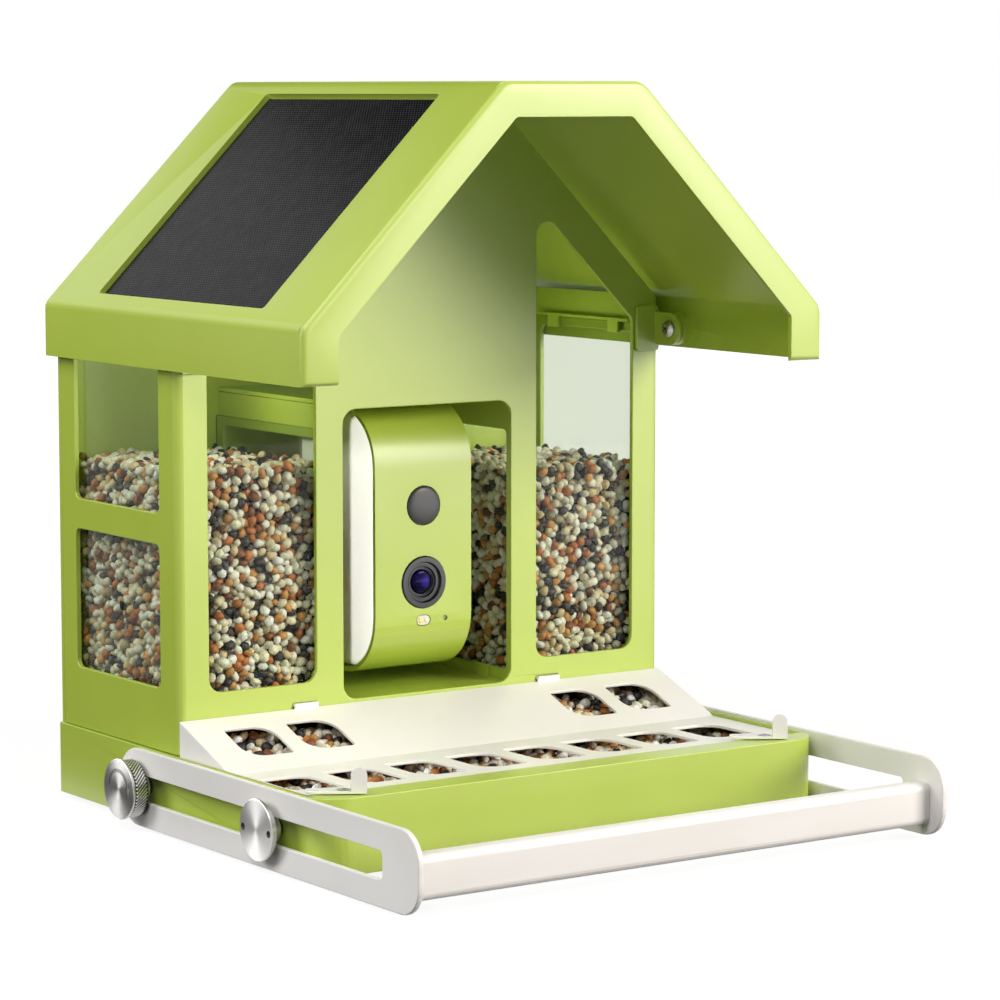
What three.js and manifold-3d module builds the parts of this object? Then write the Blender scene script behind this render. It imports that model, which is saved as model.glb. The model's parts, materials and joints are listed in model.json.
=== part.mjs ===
// Bird feeder with a camera, built from separate pieces in millimetres.
// X runs across the front, Y runs from the front to the back, Z is up and 0 is the table.
// Until the last lines Y is 0 on the outer face of the house's front panel.
import * as THREE from 'three';
import { mergeVertices } from 'three/addons/utils/BufferGeometryUtils.js';
import Module from 'manifold-3d';

const wasm = await Module();
wasm.setup();

// Shared clearances
const clearance = 0.3;
const overrun = 4;
const weld = 0.0001;
const arcTolerance = 0.1;
const fewestSides = 12;
const bevelSteps = 3;
const fullRoundShare = 0.98;

// Feet and base pan
const footHeight = 3;
const footRadius = 9;
const footInset = 34;
const rimHeight = 36;
const coverRecess = 1.5;
const baseMargin = 1.5;
const baseRearMargin = 3;
const trayReach = 134;
const trayCornerRadius = 16;
const baseRearRadius = 4;
const baseWall = 2.5;
const baseFloor = 2.5;
const rimThickness = 5.3;
const rimFrontWidth = 16;
const ledgeWidth = 4;
const rearRimWidth = 6;
const drainRadius = 2.5;
const drainPitch = 48;
const drainCount = 5;

// House sheet
const houseWidth = 290;
const houseDepth = 120;
const sheet = 2.5;
const frontBendRadius = 4;
const panelLowerEdge = 13.4;
const centreWidth = 101.4;
const centreSill = 18.8;
const openingRadius = 7.5;
const windowSide = 17.2;
const windowMullion = 15.8;
const windowSill = 29.4;
const windowTopRail = 26.5;
const windowRadius = 7;
const sideWindowFront = 17.5;
const sideWindowRear = 17;
const sideLowerSill = 31;
const sideLowerHeight = 70.5;
const sideBar = 15.2;
const sideTopRail = 17.8;
const sideWindowRadius = 4;
const ventWidth = 26;
const ventGap = 13;
const ventHeight = 3;
const ventPitch = 8;
const ventCount = 4;
const ventDrop = 95.9;

// Roof
const roofSideOverhang = 6;
const roofPitch = 45;
const roofFrontOverhang = 125.5;
const roofRearOverhang = 1.2;
const roofSheet = 2.5;
const eaveHeight = 187.7;
const fasciaHeight = 26.6;
const ridgeFlat = 80.8;
const bandWidth = 16.6;
const sideBandWidth = 19.5;
const bandRadius = 3;
const ridgeBendRadius = 9;
const eaveBendRadius = 6;
const frontEdgeRadius = 3;

// Solar panel and its pocket, measured along the left slope
const pocketLength = 158;
const pocketTopRail = 8.6;
const pocketRadius = 2;
const pocketStart = 9.4;
const pocketShift = 0.5;
const pocketDepth = 3.9;
const pocketFloor = 1.5;
const pocketWall = 2;
const panelMargin = 1.6;
const panelThickness = 1.6;
const panelRadius = 1;
const junctionLength = 46;
const junctionWidth = 30;
const junctionDepth = 8;
const junctionInset = 3;
const junctionRadius = 3;
const leadSide = 8;

// Roof hinge at each end of the front panel
const pivotReach = 14;
const pivotRise = 9.7;
const lugRadius = 8.4;
const lugThickness = 2.3;
const bracketInset = 1.7;
const bracketWidth = 14.5;
const bracketHeight = 24;
const bracketThickness = 2;
const bracketRadius = 2.2;
const hingeShankRadius = 2;
const hingeHeadRadius = 4.4;
const hingeHeadHeight = 2.6;
const hingeHeadShares = [0.62, 0.92];
const hingeDomeShare = 0.6;
const crossRecess = 0.9;
const crossReach = 2.6;

// Bay between the bins
const dividerSheet = 2;
const dividerWindowFront = 3;
const dividerWindowRear = 6;
const dividerWindowSill = 5.2;
const dividerTopRail = 17;
const dividerRadius = 3;
const bayFloorSheet = 2;
const bayCeilingGap = 1.4;
const rampSheet = 1.6;
const rampLowHeight = 8;
const rampHeadroom = 1.2;
const rampFront = 8;
const rampSideGap = 8.5;

// Clear panes and their clips
const paneSheet = 2;
const paneLap = 5;
const paneInnerLap = 3;
const paneRadius = 2;
const dividerPaneSheet = 1.5;
const dividerPaneRadius = 1;
const stripInset = 2;
const clipWidth = 9;
const clipHeight = 6;
const clipThickness = 1.6;

// Perforated feeding cover
const coverSheet = 1.5;
const coverSideRail = 1.5;
const coverBend = 48.6;
const coverTopHeight = 17.4;
const tabWidth = 13.6;
const tabOffset = 73.4;
const tabRise = 2.4;
const tabDepth = 4.4;
const portWidth = 25.5;
const portPitch = 34.8;
const portSharpRadius = 1;
const portRoundRadius = 11;
const portMargin = 5;
const flatPortShift = 5;
const flatPortFrontRail = 16.2;
const flatPortStart = 16.9;
const slopePortDepth = 26.5;
const slopePortStart = 12;
const slopePortInner = 79.4;

// Swivel latches on the tray's front corners
const latchInset = 22.7;
const latchShift = 4.4;
const latchSetback = 12;
const latchSheet = 1.2;
const latchLift = 0.6;
const latchWidth = 10.4;
const latchTabWidth = 7.5;
const latchTabHeight = 12.4;
const latchLength = 17.4;
const latchTail = 10.8;
const latchAngle = 31;
const latchForkWidth = 3.2;
const latchForkDepth = 6.5;
const latchTaper = 1.6;
const latchTaperShare = 0.4;
const latchForkRadius = 1.5;
const latchTailRadius = 0.6;
const latchHeelRadius = 3;
const latchBore = 2.4;
const latchSinkRadius = 3.6;
const latchSinkDepth = 0.9;

// Perch: two slotted arms and a bar
const armSheet = 2.8;
const armHeight = 38.4;
const armGroundGap = 1.3;
const armGap = 3;
const armFront = 221;
const armFrontRadius = 14.5;
const slotHeight = 13.2;
const slotFront = 191.6;
const slotFrontRadius = 2.5;
const rearAxis = 28.5;
const frontAxis = 94;
const barHeight = 20.8;
const barDepth = 12;
const barDrop = 3.4;
const barFront = 212;
const barCornerRadius = 3.6;
const barWall = 2;

// Studs, knobs and guide screws
const knobRadius = 14.1;
const knobLength = 7.1;
const knobStandoff = 1.6;
const knobGroove = 0.6;
const knobGrooveDepth = 1.6;
const knobFaceRadius = 14.9;
const knobFaceThickness = 1.4;
const knobBore = 3;
const knobFaceWall = 1.1;
const guideHeadRadius = 14.6;
const guideHeadThickness = 1.6;
const guideRingRadius = 13.6;
const guideRingThickness = 1.8;
const guideStandoff = 2.8;
const spannerRadius = 1.6;
const spannerOffset = 11.6;
const spannerDepth = 1.1;
const threadRadius = 4;
const nutRadius = 6.6;
const nutThickness = 4.6;
const nutSides = 6;
const washerRadius = 11.5;
const washerThickness = 2.2;

// Camera module
const cameraSetback = 4.5;
const cameraWidth = 58;
const cameraHeight = 135.5;
const cameraFloorGap = 8.2;
const cameraTopGap = 1.3;
const cameraDepth = 78;
const cameraCoverSheet = 2.2;
const cameraCoverDepth = 70;
const cameraCornerRadius = 30;
const cameraBodyInset = 1.6;
const cameraBodyWall = 2;
const cameraEdgeRadius = 4;
const cameraBackSheet = 2.4;
const pirHeight = 85.6;
const pirRadius = 9.8;
const pirRise = 1.6;
const pirDepth = 7;
const pirWall = 1.2;
const pirDomeShares = [[0.82, 0.55], [0.45, 0.9]];
const pirCanRadius = 4.6;
const pirCanDepth = 4.2;
const lensHeight = 46.6;
const bezelRadius = 13.1;
const bezelRise = 0.8;
const bezelDepth = 8;
const bezelBore = 8.4;
const bezelDish = 1.3;
const bezelRingShares = [0.95, 0.8, 0.74];
const bezelLipShare = 0.4;
const barrelRadius = 7.9;
const barrelWall = 1.3;
const barrelDepth = 16;
const barrelFront = 1.6;
const glassRadius = 6.2;
const glassThickness = 2.4;
const glassSink = 3.8;
const glassDomeShares = [[1, 0.45], [0.75, 0.8], [0.4, 0.95]];
const ledHeight = 27.1;
const ledWidth = 8;
const ledTall = 5;
const ledDepth = 5;
const micOffset = 13.2;
const micHeight = 27.4;
const micHole = 1.4;
const micRadius = 3;
const micDepth = 2.6;
const boardSetback = 22;
const boardThickness = 1.6;
const boardEdge = 24;
const boardRadius = 2;
const batteryRadius = 9.2;
const batteryLength = 70;
const batteryLift = 10.85;
const strapHalf = 14.7;
const strapShares = [0.4, 0.6];
const cellSides = 28;
const speakerRadius = 10;
const speakerDepth = 5;
const speakerDrop = 27;
const speakerSides = 32;
const mountRadius = 12;
const mountBore = 3.4;
const mountHeadRadius = 8;
const mountHeadHeight = 2.4;

// Seed fill and fasteners
const seedLevel = 140;
const seedRightDrop = 10;
const seedRipple = 2.2;
const seedRippleLength = 13;
const seedHollow = 3;
const seedTrayDepth = 3.7;
const seedThroatRise = 7.8;
const seedClearance = 0.4;
const seedPanGap = 1.2;
const rearScrewRadius = 3.2;
const rearScrewHeight = 2;
const rearScrewShank = 1.5;
const rearScrewRimShare = 0.4;
const rearScrewTopShare = 0.6;
const rearScrewLow = 30;
const rearScrewInset = 6;
const rearFlange = 12;

// Places worked out from the sizes above
const half = houseWidth / 2;
const rimTop = footHeight + rimHeight;
const coverFlat = rimTop - coverRecess;
const holeGap = clearance + arcTolerance;
const baseHalf = half + baseMargin;
const baseBack = houseDepth + baseRearMargin;
const houseFoot = rimTop + clearance;
const pitch = THREE.MathUtils.degToRad(roofPitch);
const eave = rimTop + eaveHeight;
const roofShoulder = eave + fasciaHeight;
const roofHalf = half + roofSideOverhang;
const ridgeHalf = ridgeFlat / 2;
const ridge = roofShoulder + (roofHalf - ridgeHalf) * Math.tan(pitch);
const roofBack = houseDepth + roofRearOverhang;
const shoulder = roofShoulder - roofSideOverhang * Math.tan(pitch / 2);
const pocketRise = (roofHalf - ridgeHalf) / Math.cos(pitch) - pocketStart - pocketTopRail;
const centreHalf = centreWidth / 2;
const centreHeight = cameraFloorGap + cameraHeight + cameraTopGap;
const sill = rimTop + centreSill;
const pivotZ = eave + pivotRise;
const pivotY = -pivotReach;
const bayHalf = centreHalf + dividerSheet / 2;
const bayTop = sill + centreHeight + bayCeilingGap;
const rampLow = footHeight + rampLowHeight;
const rampHigh = sill - bayFloorSheet - rampSheet - rampHeadroom;
const coverTop = rimTop + coverTopHeight;
const coverHalfWidth = baseHalf - coverSideRail;
const coverEdge = -trayReach + rimFrontWidth + clearance;
const flatPortDepth = -coverBend - flatPortStart - flatPortFrontRail - coverEdge;
const flatPortPairs = Math.floor(
  (coverHalfWidth - portMargin - portWidth / 2 + portPitch / 2) / portPitch,
);
const slopePortCount = Math.floor(
  (coverHalfWidth - portMargin - portWidth / 2 - slopePortInner) / portPitch,
) + 1;
const armAxisZ = armGroundGap + armHeight / 2;
const armRear = rearAxis + armHeight / 2;
const armInner = baseHalf + armGap;
const armOuter = armInner + armSheet;
const shankRadius = slotHeight / 2 - clearance;
const knobBoreDepth = knobLength + knobGroove + knobFaceThickness - knobFaceWall;
const cameraFloor = sill + cameraFloorGap;
const latchY = -trayReach + latchSetback;
const latchX = (side) => side * (baseHalf - latchInset) - latchShift;
const windowOuter = half - windowSide;
const windowInner = centreHalf + windowMullion;
const windowBottom = rimTop + windowSill;
const sideLower = rimTop + sideLowerSill;
const sideUpper = sideLower + sideLowerHeight + sideBar;
const sideUpperTop = shoulder - sideTopRail;

// Colours follow the painted sheet, the off-white cover and perch, and the steel and black fittings
const finish = (color, roughness, metalness = 0) =>
  new THREE.MeshStandardMaterial({ color, roughness, metalness });
const greenPaint = finish(0xa9c63f, 0.45);
const whitePaint = finish(0xf1eee6, 0.5);
const frosted = finish(0xdedfdc, 0.55);
const clearPlastic = new THREE.MeshStandardMaterial({
  color: 0xd6dfc8, roughness: 0.15, transparent: true, opacity: 0.35,
});
const steel = finish(0xa8a7a3, 0.35, 1);
const blackPlastic = finish(0x1b1b1d, 0.4);
const solarGlass = finish(0x222225, 0.3);
const seedMix = finish(0xb59a72, 0.8);
const rubber = finish(0x3a3a3a, 0.9);
const lensGlass = finish(0x2a2144, 0.08);
const boardGreen = finish(0x1f5c3a, 0.6);
const cellWrap = finish(0x2f6fb5, 0.5);
const ledYellow = finish(0xf3e27a, 0.3);

// How many straight steps an arc needs so that it stays within the tolerance of the true curve
const arcSteps = (radius, angle) =>
  Math.max(1, Math.ceil(angle / (2 * Math.acos(1 - Math.min(arcTolerance / radius, 1)))));

// The points of a closed outline from corners [x, y, radius], each radius drawn as an arc
function outline(corners) {
  const count = corners.length;
  return corners.flatMap(([x, y, radius = 0], i) => {
    const corner = new THREE.Vector2(x, y);
    if (radius === 0) return [corner];
    const [px, py] = corners[(i + count - 1) % count];
    const [nx, ny] = corners[(i + 1) % count];
    const before = new THREE.Vector2(px, py).sub(corner).normalize();
    const after = new THREE.Vector2(nx, ny).sub(corner).normalize();
    const angle = Math.acos(THREE.MathUtils.clamp(before.dot(after), -1, 1));
    const middle = before.clone().add(after).normalize();
    const centre = corner.clone().addScaledVector(middle, radius / Math.sin(angle / 2));
    const start = corner.clone().addScaledVector(before, radius / Math.tan(angle / 2)).sub(centre);
    const sweep = Math.PI - angle;
    const turn = Math.sign(before.cross(after)) * -1;
    const steps = arcSteps(radius, sweep);
    return Array.from({ length: steps + 1 }, (_, k) =>
      start.clone().rotateAround(new THREE.Vector2(), turn * sweep * k / steps).add(centre));
  });
}

const rectangle = (x0, y0, x1, y1, radius = 0) =>
  [[x0, y0, radius], [x1, y0, radius], [x1, y1, radius], [x0, y1, radius]];

// A closed solid from a geometry: shared corners merged, empty triangles dropped, faces out
function solid(geometry) {
  const bare = geometry.clone();
  bare.deleteAttribute('normal');
  bare.deleteAttribute('uv');
  const merged = mergeVertices(bare, weld);
  const position = merged.attributes.position;
  const triangles = [];
  const corner = (i) => new THREE.Vector3().fromBufferAttribute(position, i);
  let volume = 0;
  for (let i = 0; i < merged.index.count; i += 3) {
    const [a, b, c] = [0, 1, 2].map((k) => merged.index.getX(i + k));
    if (a === b || b === c || c === a) continue;
    triangles.push([a, b, c]);
    volume += corner(a).dot(corner(b).cross(corner(c)));
  }
  const facing = volume < 0 ? triangles.map(([a, b, c]) => [a, c, b]) : triangles;
  return new wasm.Manifold(new wasm.Mesh({
    numProp: 3,
    vertProperties: new Float32Array(position.array),
    triVerts: new Uint32Array(facing.flat()),
  }));
}

const extruded = (corners, depth, holes = []) => {
  const shape = new THREE.Shape(outline(corners));
  shape.holes = holes.map((hole) => new THREE.Path(outline(hole)));
  return new THREE.ExtrudeGeometry(shape, { depth, bevelEnabled: false });
};

// Plates drawn in plan, from the front or from the side
const level = (corners, z0, z1, holes) =>
  solid(extruded(corners, z1 - z0, holes).translate(0, 0, z0));
const upright = (corners, y0, y1, holes) =>
  solid(extruded(corners, y1 - y0, holes).rotateX(Math.PI / 2).translate(0, y1, 0));
const lengthwise = (corners, x0, x1, holes) =>
  solid(extruded(corners, x1 - x0, holes)
    .rotateX(Math.PI / 2).rotateZ(Math.PI / 2).translate(x0, 0, 0));
const block = (x0, x1, y0, y1, z0, z1) => level(rectangle(x0, y0, x1, y1), z0, z1);

// Round pieces: a profile of [radius, distance] turned about X, Y or Z through a point
const turnings = {
  x: (geometry) => geometry.rotateZ(-Math.PI / 2),
  y: (geometry) => geometry,
  z: (geometry) => geometry.rotateX(Math.PI / 2),
};
function turned(axis, profile, x, y, z, count = 0) {
  const points = profile.map(([radius, distance]) => new THREE.Vector2(radius, distance));
  const widest = Math.max(...profile.map(([radius]) => radius));
  const sides = count || Math.max(fewestSides, arcSteps(widest, Math.PI * 2));
  const geometry = new THREE.LatheGeometry(points, sides);
  return solid(turnings[axis](geometry).translate(x, y, z));
}
const rod = (axis, radius, start, end, x, y, z, count) =>
  turned(axis, [[0, start], [radius, start], [radius, end], [0, end]], x, y, z, count);

const join = (...solids) => solids.reduce((sum, next) => sum.add(next));
const cut = (body, ...tools) => tools.reduce((rest, tool) => rest.subtract(tool), body);

function geometryOf(body) {
  const { vertProperties, triVerts } = body.getMesh();
  const geometry = new THREE.BufferGeometry();
  geometry.setAttribute('position', new THREE.BufferAttribute(new Float32Array(vertProperties), 3));
  geometry.setIndex(new THREE.BufferAttribute(new Uint32Array(triVerts), 1));
  const flat = geometry.toNonIndexed();
  flat.computeVertexNormals();
  return flat;
}

function place(group, name, body, material) {
  const mesh = new THREE.Mesh(geometryOf(body), material);
  mesh.name = name;
  group.add(mesh);
}

// Left and right copies: side is -1 on the left and 1 on the right
const ends = [['left', -1], ['right', 1]];
const span = (side, near, far) => [Math.min(side * near, side * far), Math.max(side * near, side * far)];

// The outline of the roof from the front, moved in by a distance square to its faces
function roofOutline(inset, foot, radii = [0, 0]) {
  const kink = Math.tan(pitch / 2);
  const edge = roofHalf - inset;
  const corner = roofShoulder - inset * kink;
  const flat = ridgeHalf - inset * kink;
  const top = ridge - inset;
  const [eaveRadius, ridgeRadius] = radii;
  return [
    [-edge, foot], [edge, foot], [edge, corner, eaveRadius], [flat, top, ridgeRadius],
    [-flat, top, ridgeRadius], [-edge, corner, eaveRadius],
  ];
}

// Base

function basePlan(inset) {
  const front = -trayReach + inset;
  const side = baseHalf - inset;
  const back = baseBack - inset;
  const frontRadius = Math.max(trayCornerRadius - inset, clearance);
  const rearRadius = Math.max(baseRearRadius - inset, clearance);
  return [
    [-side, front, frontRadius], [side, front, frontRadius],
    [side, back, rearRadius], [-side, back, rearRadius],
  ];
}

const rimOpeningHalf = coverHalfWidth + clearance - ledgeWidth;
const rimOpeningFront = -trayReach + rimFrontWidth + ledgeWidth;
const rimOpeningBack = baseBack - rearRimWidth;

function basePan() {
  const shell = level(basePlan(0), footHeight, rimTop);
  const hollow = level(basePlan(baseWall), footHeight + baseFloor, rimTop - rimThickness);
  const opening = level(
    rectangle(-rimOpeningHalf, rimOpeningFront, rimOpeningHalf, rimOpeningBack, sheet),
    rimTop - rimThickness - overrun, rimTop + overrun,
  );
  const rebate = block(
    -coverHalfWidth - clearance, coverHalfWidth + clearance, rimOpeningFront - ledgeWidth, 0,
    coverFlat - coverSheet - clearance, rimTop + overrun,
  );
  const drains = [];
  for (let i = 0; i < drainCount; i += 1) {
    const x = (i - (drainCount - 1) / 2) * drainPitch;
    drains.push(rod('z', drainRadius, -overrun, overrun, x, -trayReach / 2, footHeight));
  }
  const bores = [];
  for (const y of [rearAxis, -frontAxis]) {
    bores.push(rod('x', threadRadius + holeGap, -roofHalf, roofHalf, 0, y, armAxisZ));
  }
  const screwHoles = ends.map(([, side]) => rod(
    'z', latchBore, -rimThickness - overrun, overrun, latchX(side), latchY, rimTop,
  ));
  const pan = cut(shell, hollow, opening, rebate, ...drains);
  return cut(join(pan, ...weldNuts()), ...bores, ...screwHoles);
}

// Weld nuts inside the pan's side walls take the studs and the guide screws
const nutInner = baseHalf - baseWall - nutThickness;
function weldNuts() {
  const nuts = [];
  for (const [, side] of ends) {
    for (const y of [rearAxis, -frontAxis]) {
      const [x0, x1] = span(side, nutInner, baseHalf - baseWall / 2);
      nuts.push(rod('x', nutRadius, x0, x1, 0, y, armAxisZ, nutSides));
    }
  }
  return nuts;
}

function foot(side) {
  const middle = side * (baseHalf - footInset);
  return level(rectangle(
    middle - footRadius, -trayReach + footInset, middle + footRadius, baseBack - footInset,
    footRadius * fullRoundShare,
  ), 0, footHeight - clearance);
}

// House

function frontWindow(side) {
  const outerTop = shoulder + windowSide * Math.tan(pitch) - windowTopRail;
  const innerTop = outerTop + (windowOuter - windowInner) * Math.tan(pitch);
  const corners = [
    [side * windowInner, windowBottom, windowRadius], [side * windowOuter, windowBottom, windowRadius],
    [side * windowOuter, outerTop, windowRadius], [side * windowInner, innerTop, windowRadius],
  ];
  return side < 0 ? corners.reverse() : corners;
}

const sideWindow = (z0, z1) =>
  rectangle(sideWindowFront, z0, houseDepth - sideWindowRear, z1, sideWindowRadius);

function houseWrap() {
  const back = houseDepth - sheet - clearance;
  const outer = level(
    [[-half, 0, frontBendRadius], [half, 0, frontBendRadius], [half, back], [-half, back]],
    houseFoot, ridge,
  );
  const innerRadius = frontBendRadius - sheet;
  const inner = level(
    [[-half + sheet, sheet, innerRadius], [half - sheet, sheet, innerRadius],
      [half - sheet, back + overrun], [-half + sheet, back + overrun]],
    houseFoot - overrun, ridge + overrun,
  );
  const under = upright(
    roofOutline(roofSideOverhang, houseFoot - overrun), -overrun, houseDepth + overrun,
  );
  const shell = cut(outer, inner).intersect(under);
  const throat = block(
    -half + sheet, half - sheet, -overrun, sheet + overrun,
    houseFoot - overrun, rimTop + panelLowerEdge,
  );
  const centre = upright(
    rectangle(-centreHalf, sill, centreHalf, sill + centreHeight, openingRadius), -overrun, sheet + overrun,
  );
  const windows = ends.map(([, side]) => upright(frontWindow(side), -overrun, sheet + overrun));
  const flanges = ends.map(([, side]) => {
    const [x0, x1] = span(side, half - rearFlange, half - sheet / 2);
    return block(x0, x1, back - sheet, back, houseFoot, shoulder - rearFlange / 2);
  });
  const flangeHoles = rearScrewPlaces.map(([x, z]) =>
    rod('y', rearScrewShank + holeGap, back - sheet - overrun, back + overrun, x, 0, z));
  const lower = lengthwise(sideWindow(sideLower, sideLower + sideLowerHeight), -roofHalf, roofHalf);
  const upper = lengthwise(sideWindow(sideUpper, sideUpperTop), -roofHalf, roofHalf);
  const notches = ends.map(([, side]) => {
    const [x0, x1] = span(side, tabOffset - tabWidth / 2 - clearance, tabOffset + tabWidth / 2 + clearance);
    return block(x0, x1, -overrun, sheet + overrun, rimTop, coverTop + tabRise + clearance);
  });
  return cut(
    join(shell, ...flanges), throat, centre, ...windows, lower, upper, ...notches, ...flangeHoles,
  );
}

const rearScrewPlaces = ends.flatMap(([, side]) => {
  const heights = [houseFoot + rearScrewLow, shoulder - rearFlange];
  return heights.map((z) => [side * (half - rearScrewInset), z]);
});

function backPanel() {
  const face = houseDepth - sheet;
  const plate = upright(roofOutline(roofSideOverhang, houseFoot), face, houseDepth);
  const vents = [];
  for (let i = 0; i < ventCount; i += 1) {
    const z = ridge - ventDrop - i * ventPitch;
    for (const [, side] of ends) {
      const x = side * (ventGap + ventWidth) / 2;
      vents.push(upright(
        rectangle(
          x - ventWidth / 2, z, x + ventWidth / 2, z + ventHeight, ventHeight / 2 * fullRoundShare,
        ),
        face - overrun, houseDepth + overrun,
      ));
    }
  }
  const screwHoles = rearScrewPlaces.map(([x, z]) =>
    rod('y', rearScrewShank + holeGap, -sheet - overrun, overrun, x, houseDepth, z));
  const mount = rod('y', mountBore + arcTolerance, -sheet - overrun, overrun, 0, houseDepth, cameraMountZ);
  return cut(plate, ...vents, ...screwHoles, mount);
}

// Each rear screw passes through the panel into the folded rear flange of a side wall
function rearScrew([x, z]) {
  return turned('y', [
    [0, -sheet - rearScrewInset], [rearScrewShank, -sheet - rearScrewInset], [rearScrewShank, clearance],
    [rearScrewRadius, clearance], [rearScrewRadius, clearance + rearScrewHeight * rearScrewRimShare],
    [rearScrewRadius * rearScrewTopShare, clearance + rearScrewHeight], [0, clearance + rearScrewHeight],
  ], x, houseDepth, z);
}

// Bins, bay and panes

const dividerOuter = bayHalf + dividerSheet;
const rampBack = houseDepth - sheet * 2 - clearance * 2;
const bayBack = houseDepth - sheet - clearance;
const bayFront = sheet + clearance;

function divider(side) {
  const [x0, x1] = span(side, bayHalf, dividerOuter);
  const frame = rectangle(bayFront, sill - bayFloorSheet, bayBack, bayTop);
  const window = rectangle(
    bayFront + dividerWindowFront, sill + dividerWindowSill,
    bayBack - dividerWindowRear, bayTop - dividerTopRail, dividerRadius,
  );
  return lengthwise(frame, x0, x1, [window]);
}

function dividerPane(side) {
  const [x0, x1] = span(side, dividerOuter + clearance, dividerOuter + clearance + dividerPaneSheet);
  const y0 = bayFront + paneSheet + clearance * 2;
  return lengthwise(rectangle(
    y0, sill + dividerWindowSill - paneLap,
    bayBack - clearance, bayTop - dividerTopRail + paneLap, dividerPaneRadius,
  ), x0, x1);
}

function bayFloor() {
  const plate = block(
    -bayHalf + clearance, bayHalf - clearance, bayFront, bayBack, sill - bayFloorSheet, sill - clearance,
  );
  const tabs = [];
  for (const [, side] of ends) {
    for (const y of [bayFront + sideWindowFront, bayBack - sideWindowFront - clipWidth]) {
      const [x0, x1] = span(side, bayHalf - clipThickness - clearance, bayHalf - clearance);
      tabs.push(block(x0, x1, y, y + clipWidth, sill - bayFloorSheet, sill + clipHeight));
    }
  }
  return join(plate, ...tabs);
}

function bayCeiling() {
  const under = bayTop + clearance;
  return block(-dividerOuter, dividerOuter, bayFront, bayBack, under, under + bayFloorSheet);
}

function hopperRamp() {
  return lengthwise([
    [rampFront, rampLow], [rampBack, rampHigh],
    [rampBack, rampHigh + rampSheet], [rampFront, rampLow + rampSheet],
  ], -half + rampSideGap, half - rampSideGap);
}

function frontPane(side) {
  const tops = frontWindow(1);
  const outerTop = tops[2][1] + paneLap;
  const innerTop = tops[3][1] + paneInnerLap;
  const x0 = windowInner - paneLap;
  const x1 = windowOuter + paneLap;
  const z0 = windowBottom - paneLap;
  const corners = [
    [side * x0, z0, paneRadius], [side * x1, z0, paneRadius],
    [side * x1, outerTop, paneRadius], [side * x0, innerTop, paneRadius],
  ];
  return upright(side < 0 ? corners.reverse() : corners, bayFront, bayFront + paneSheet);
}

const sidePaneTop = sideUpperTop + paneLap;
function sidePane(side) {
  const outer = half - sheet - clearance;
  const [x0, x1] = span(side, outer - paneSheet, outer);
  return lengthwise(rectangle(
    sideWindowFront - paneLap, sideLower - paneLap,
    houseDepth - sideWindowRear + paneLap, sidePaneTop, paneRadius,
  ), x0, x1);
}

// A strip over each side pane has two hooks that hold the pane's top edge
function paneStrip(side) {
  const wallFace = half - sheet - clearance;
  const base = sidePaneTop + clearance;
  const [a0, a1] = span(side, wallFace - paneSheet - clearance - clipThickness, wallFace);
  const hookFace = wallFace - paneSheet - clearance;
  const [b0, b1] = span(side, hookFace - clipThickness, hookFace);
  const y0 = sideWindowFront + stripInset;
  const y1 = houseDepth - sideWindowRear - stripInset;
  const strip = block(a0, a1, y0, y1, base, base + clipThickness);
  const hooks = [y0 + clipWidth, y1 - clipWidth * 2].map((y) =>
    block(b0, b1, y, y + clipWidth, base - clipHeight, base + clipThickness));
  return join(strip, ...hooks);
}

// Feeding cover

const slopeRise = coverTop - coverFlat;
const slopeAngle = Math.atan2(slopeRise, coverBend);
const slopeLength = Math.hypot(slopeRise, coverBend);

// A port has two sharp corners, at its back left and front right, and two wide round ones
const port = (x, y0, depth) => [
  [x - portWidth / 2, y0, portRoundRadius], [x + portWidth / 2, y0, portSharpRadius],
  [x + portWidth / 2, y0 + depth, portRoundRadius], [x - portWidth / 2, y0 + depth, portSharpRadius],
];

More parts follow.
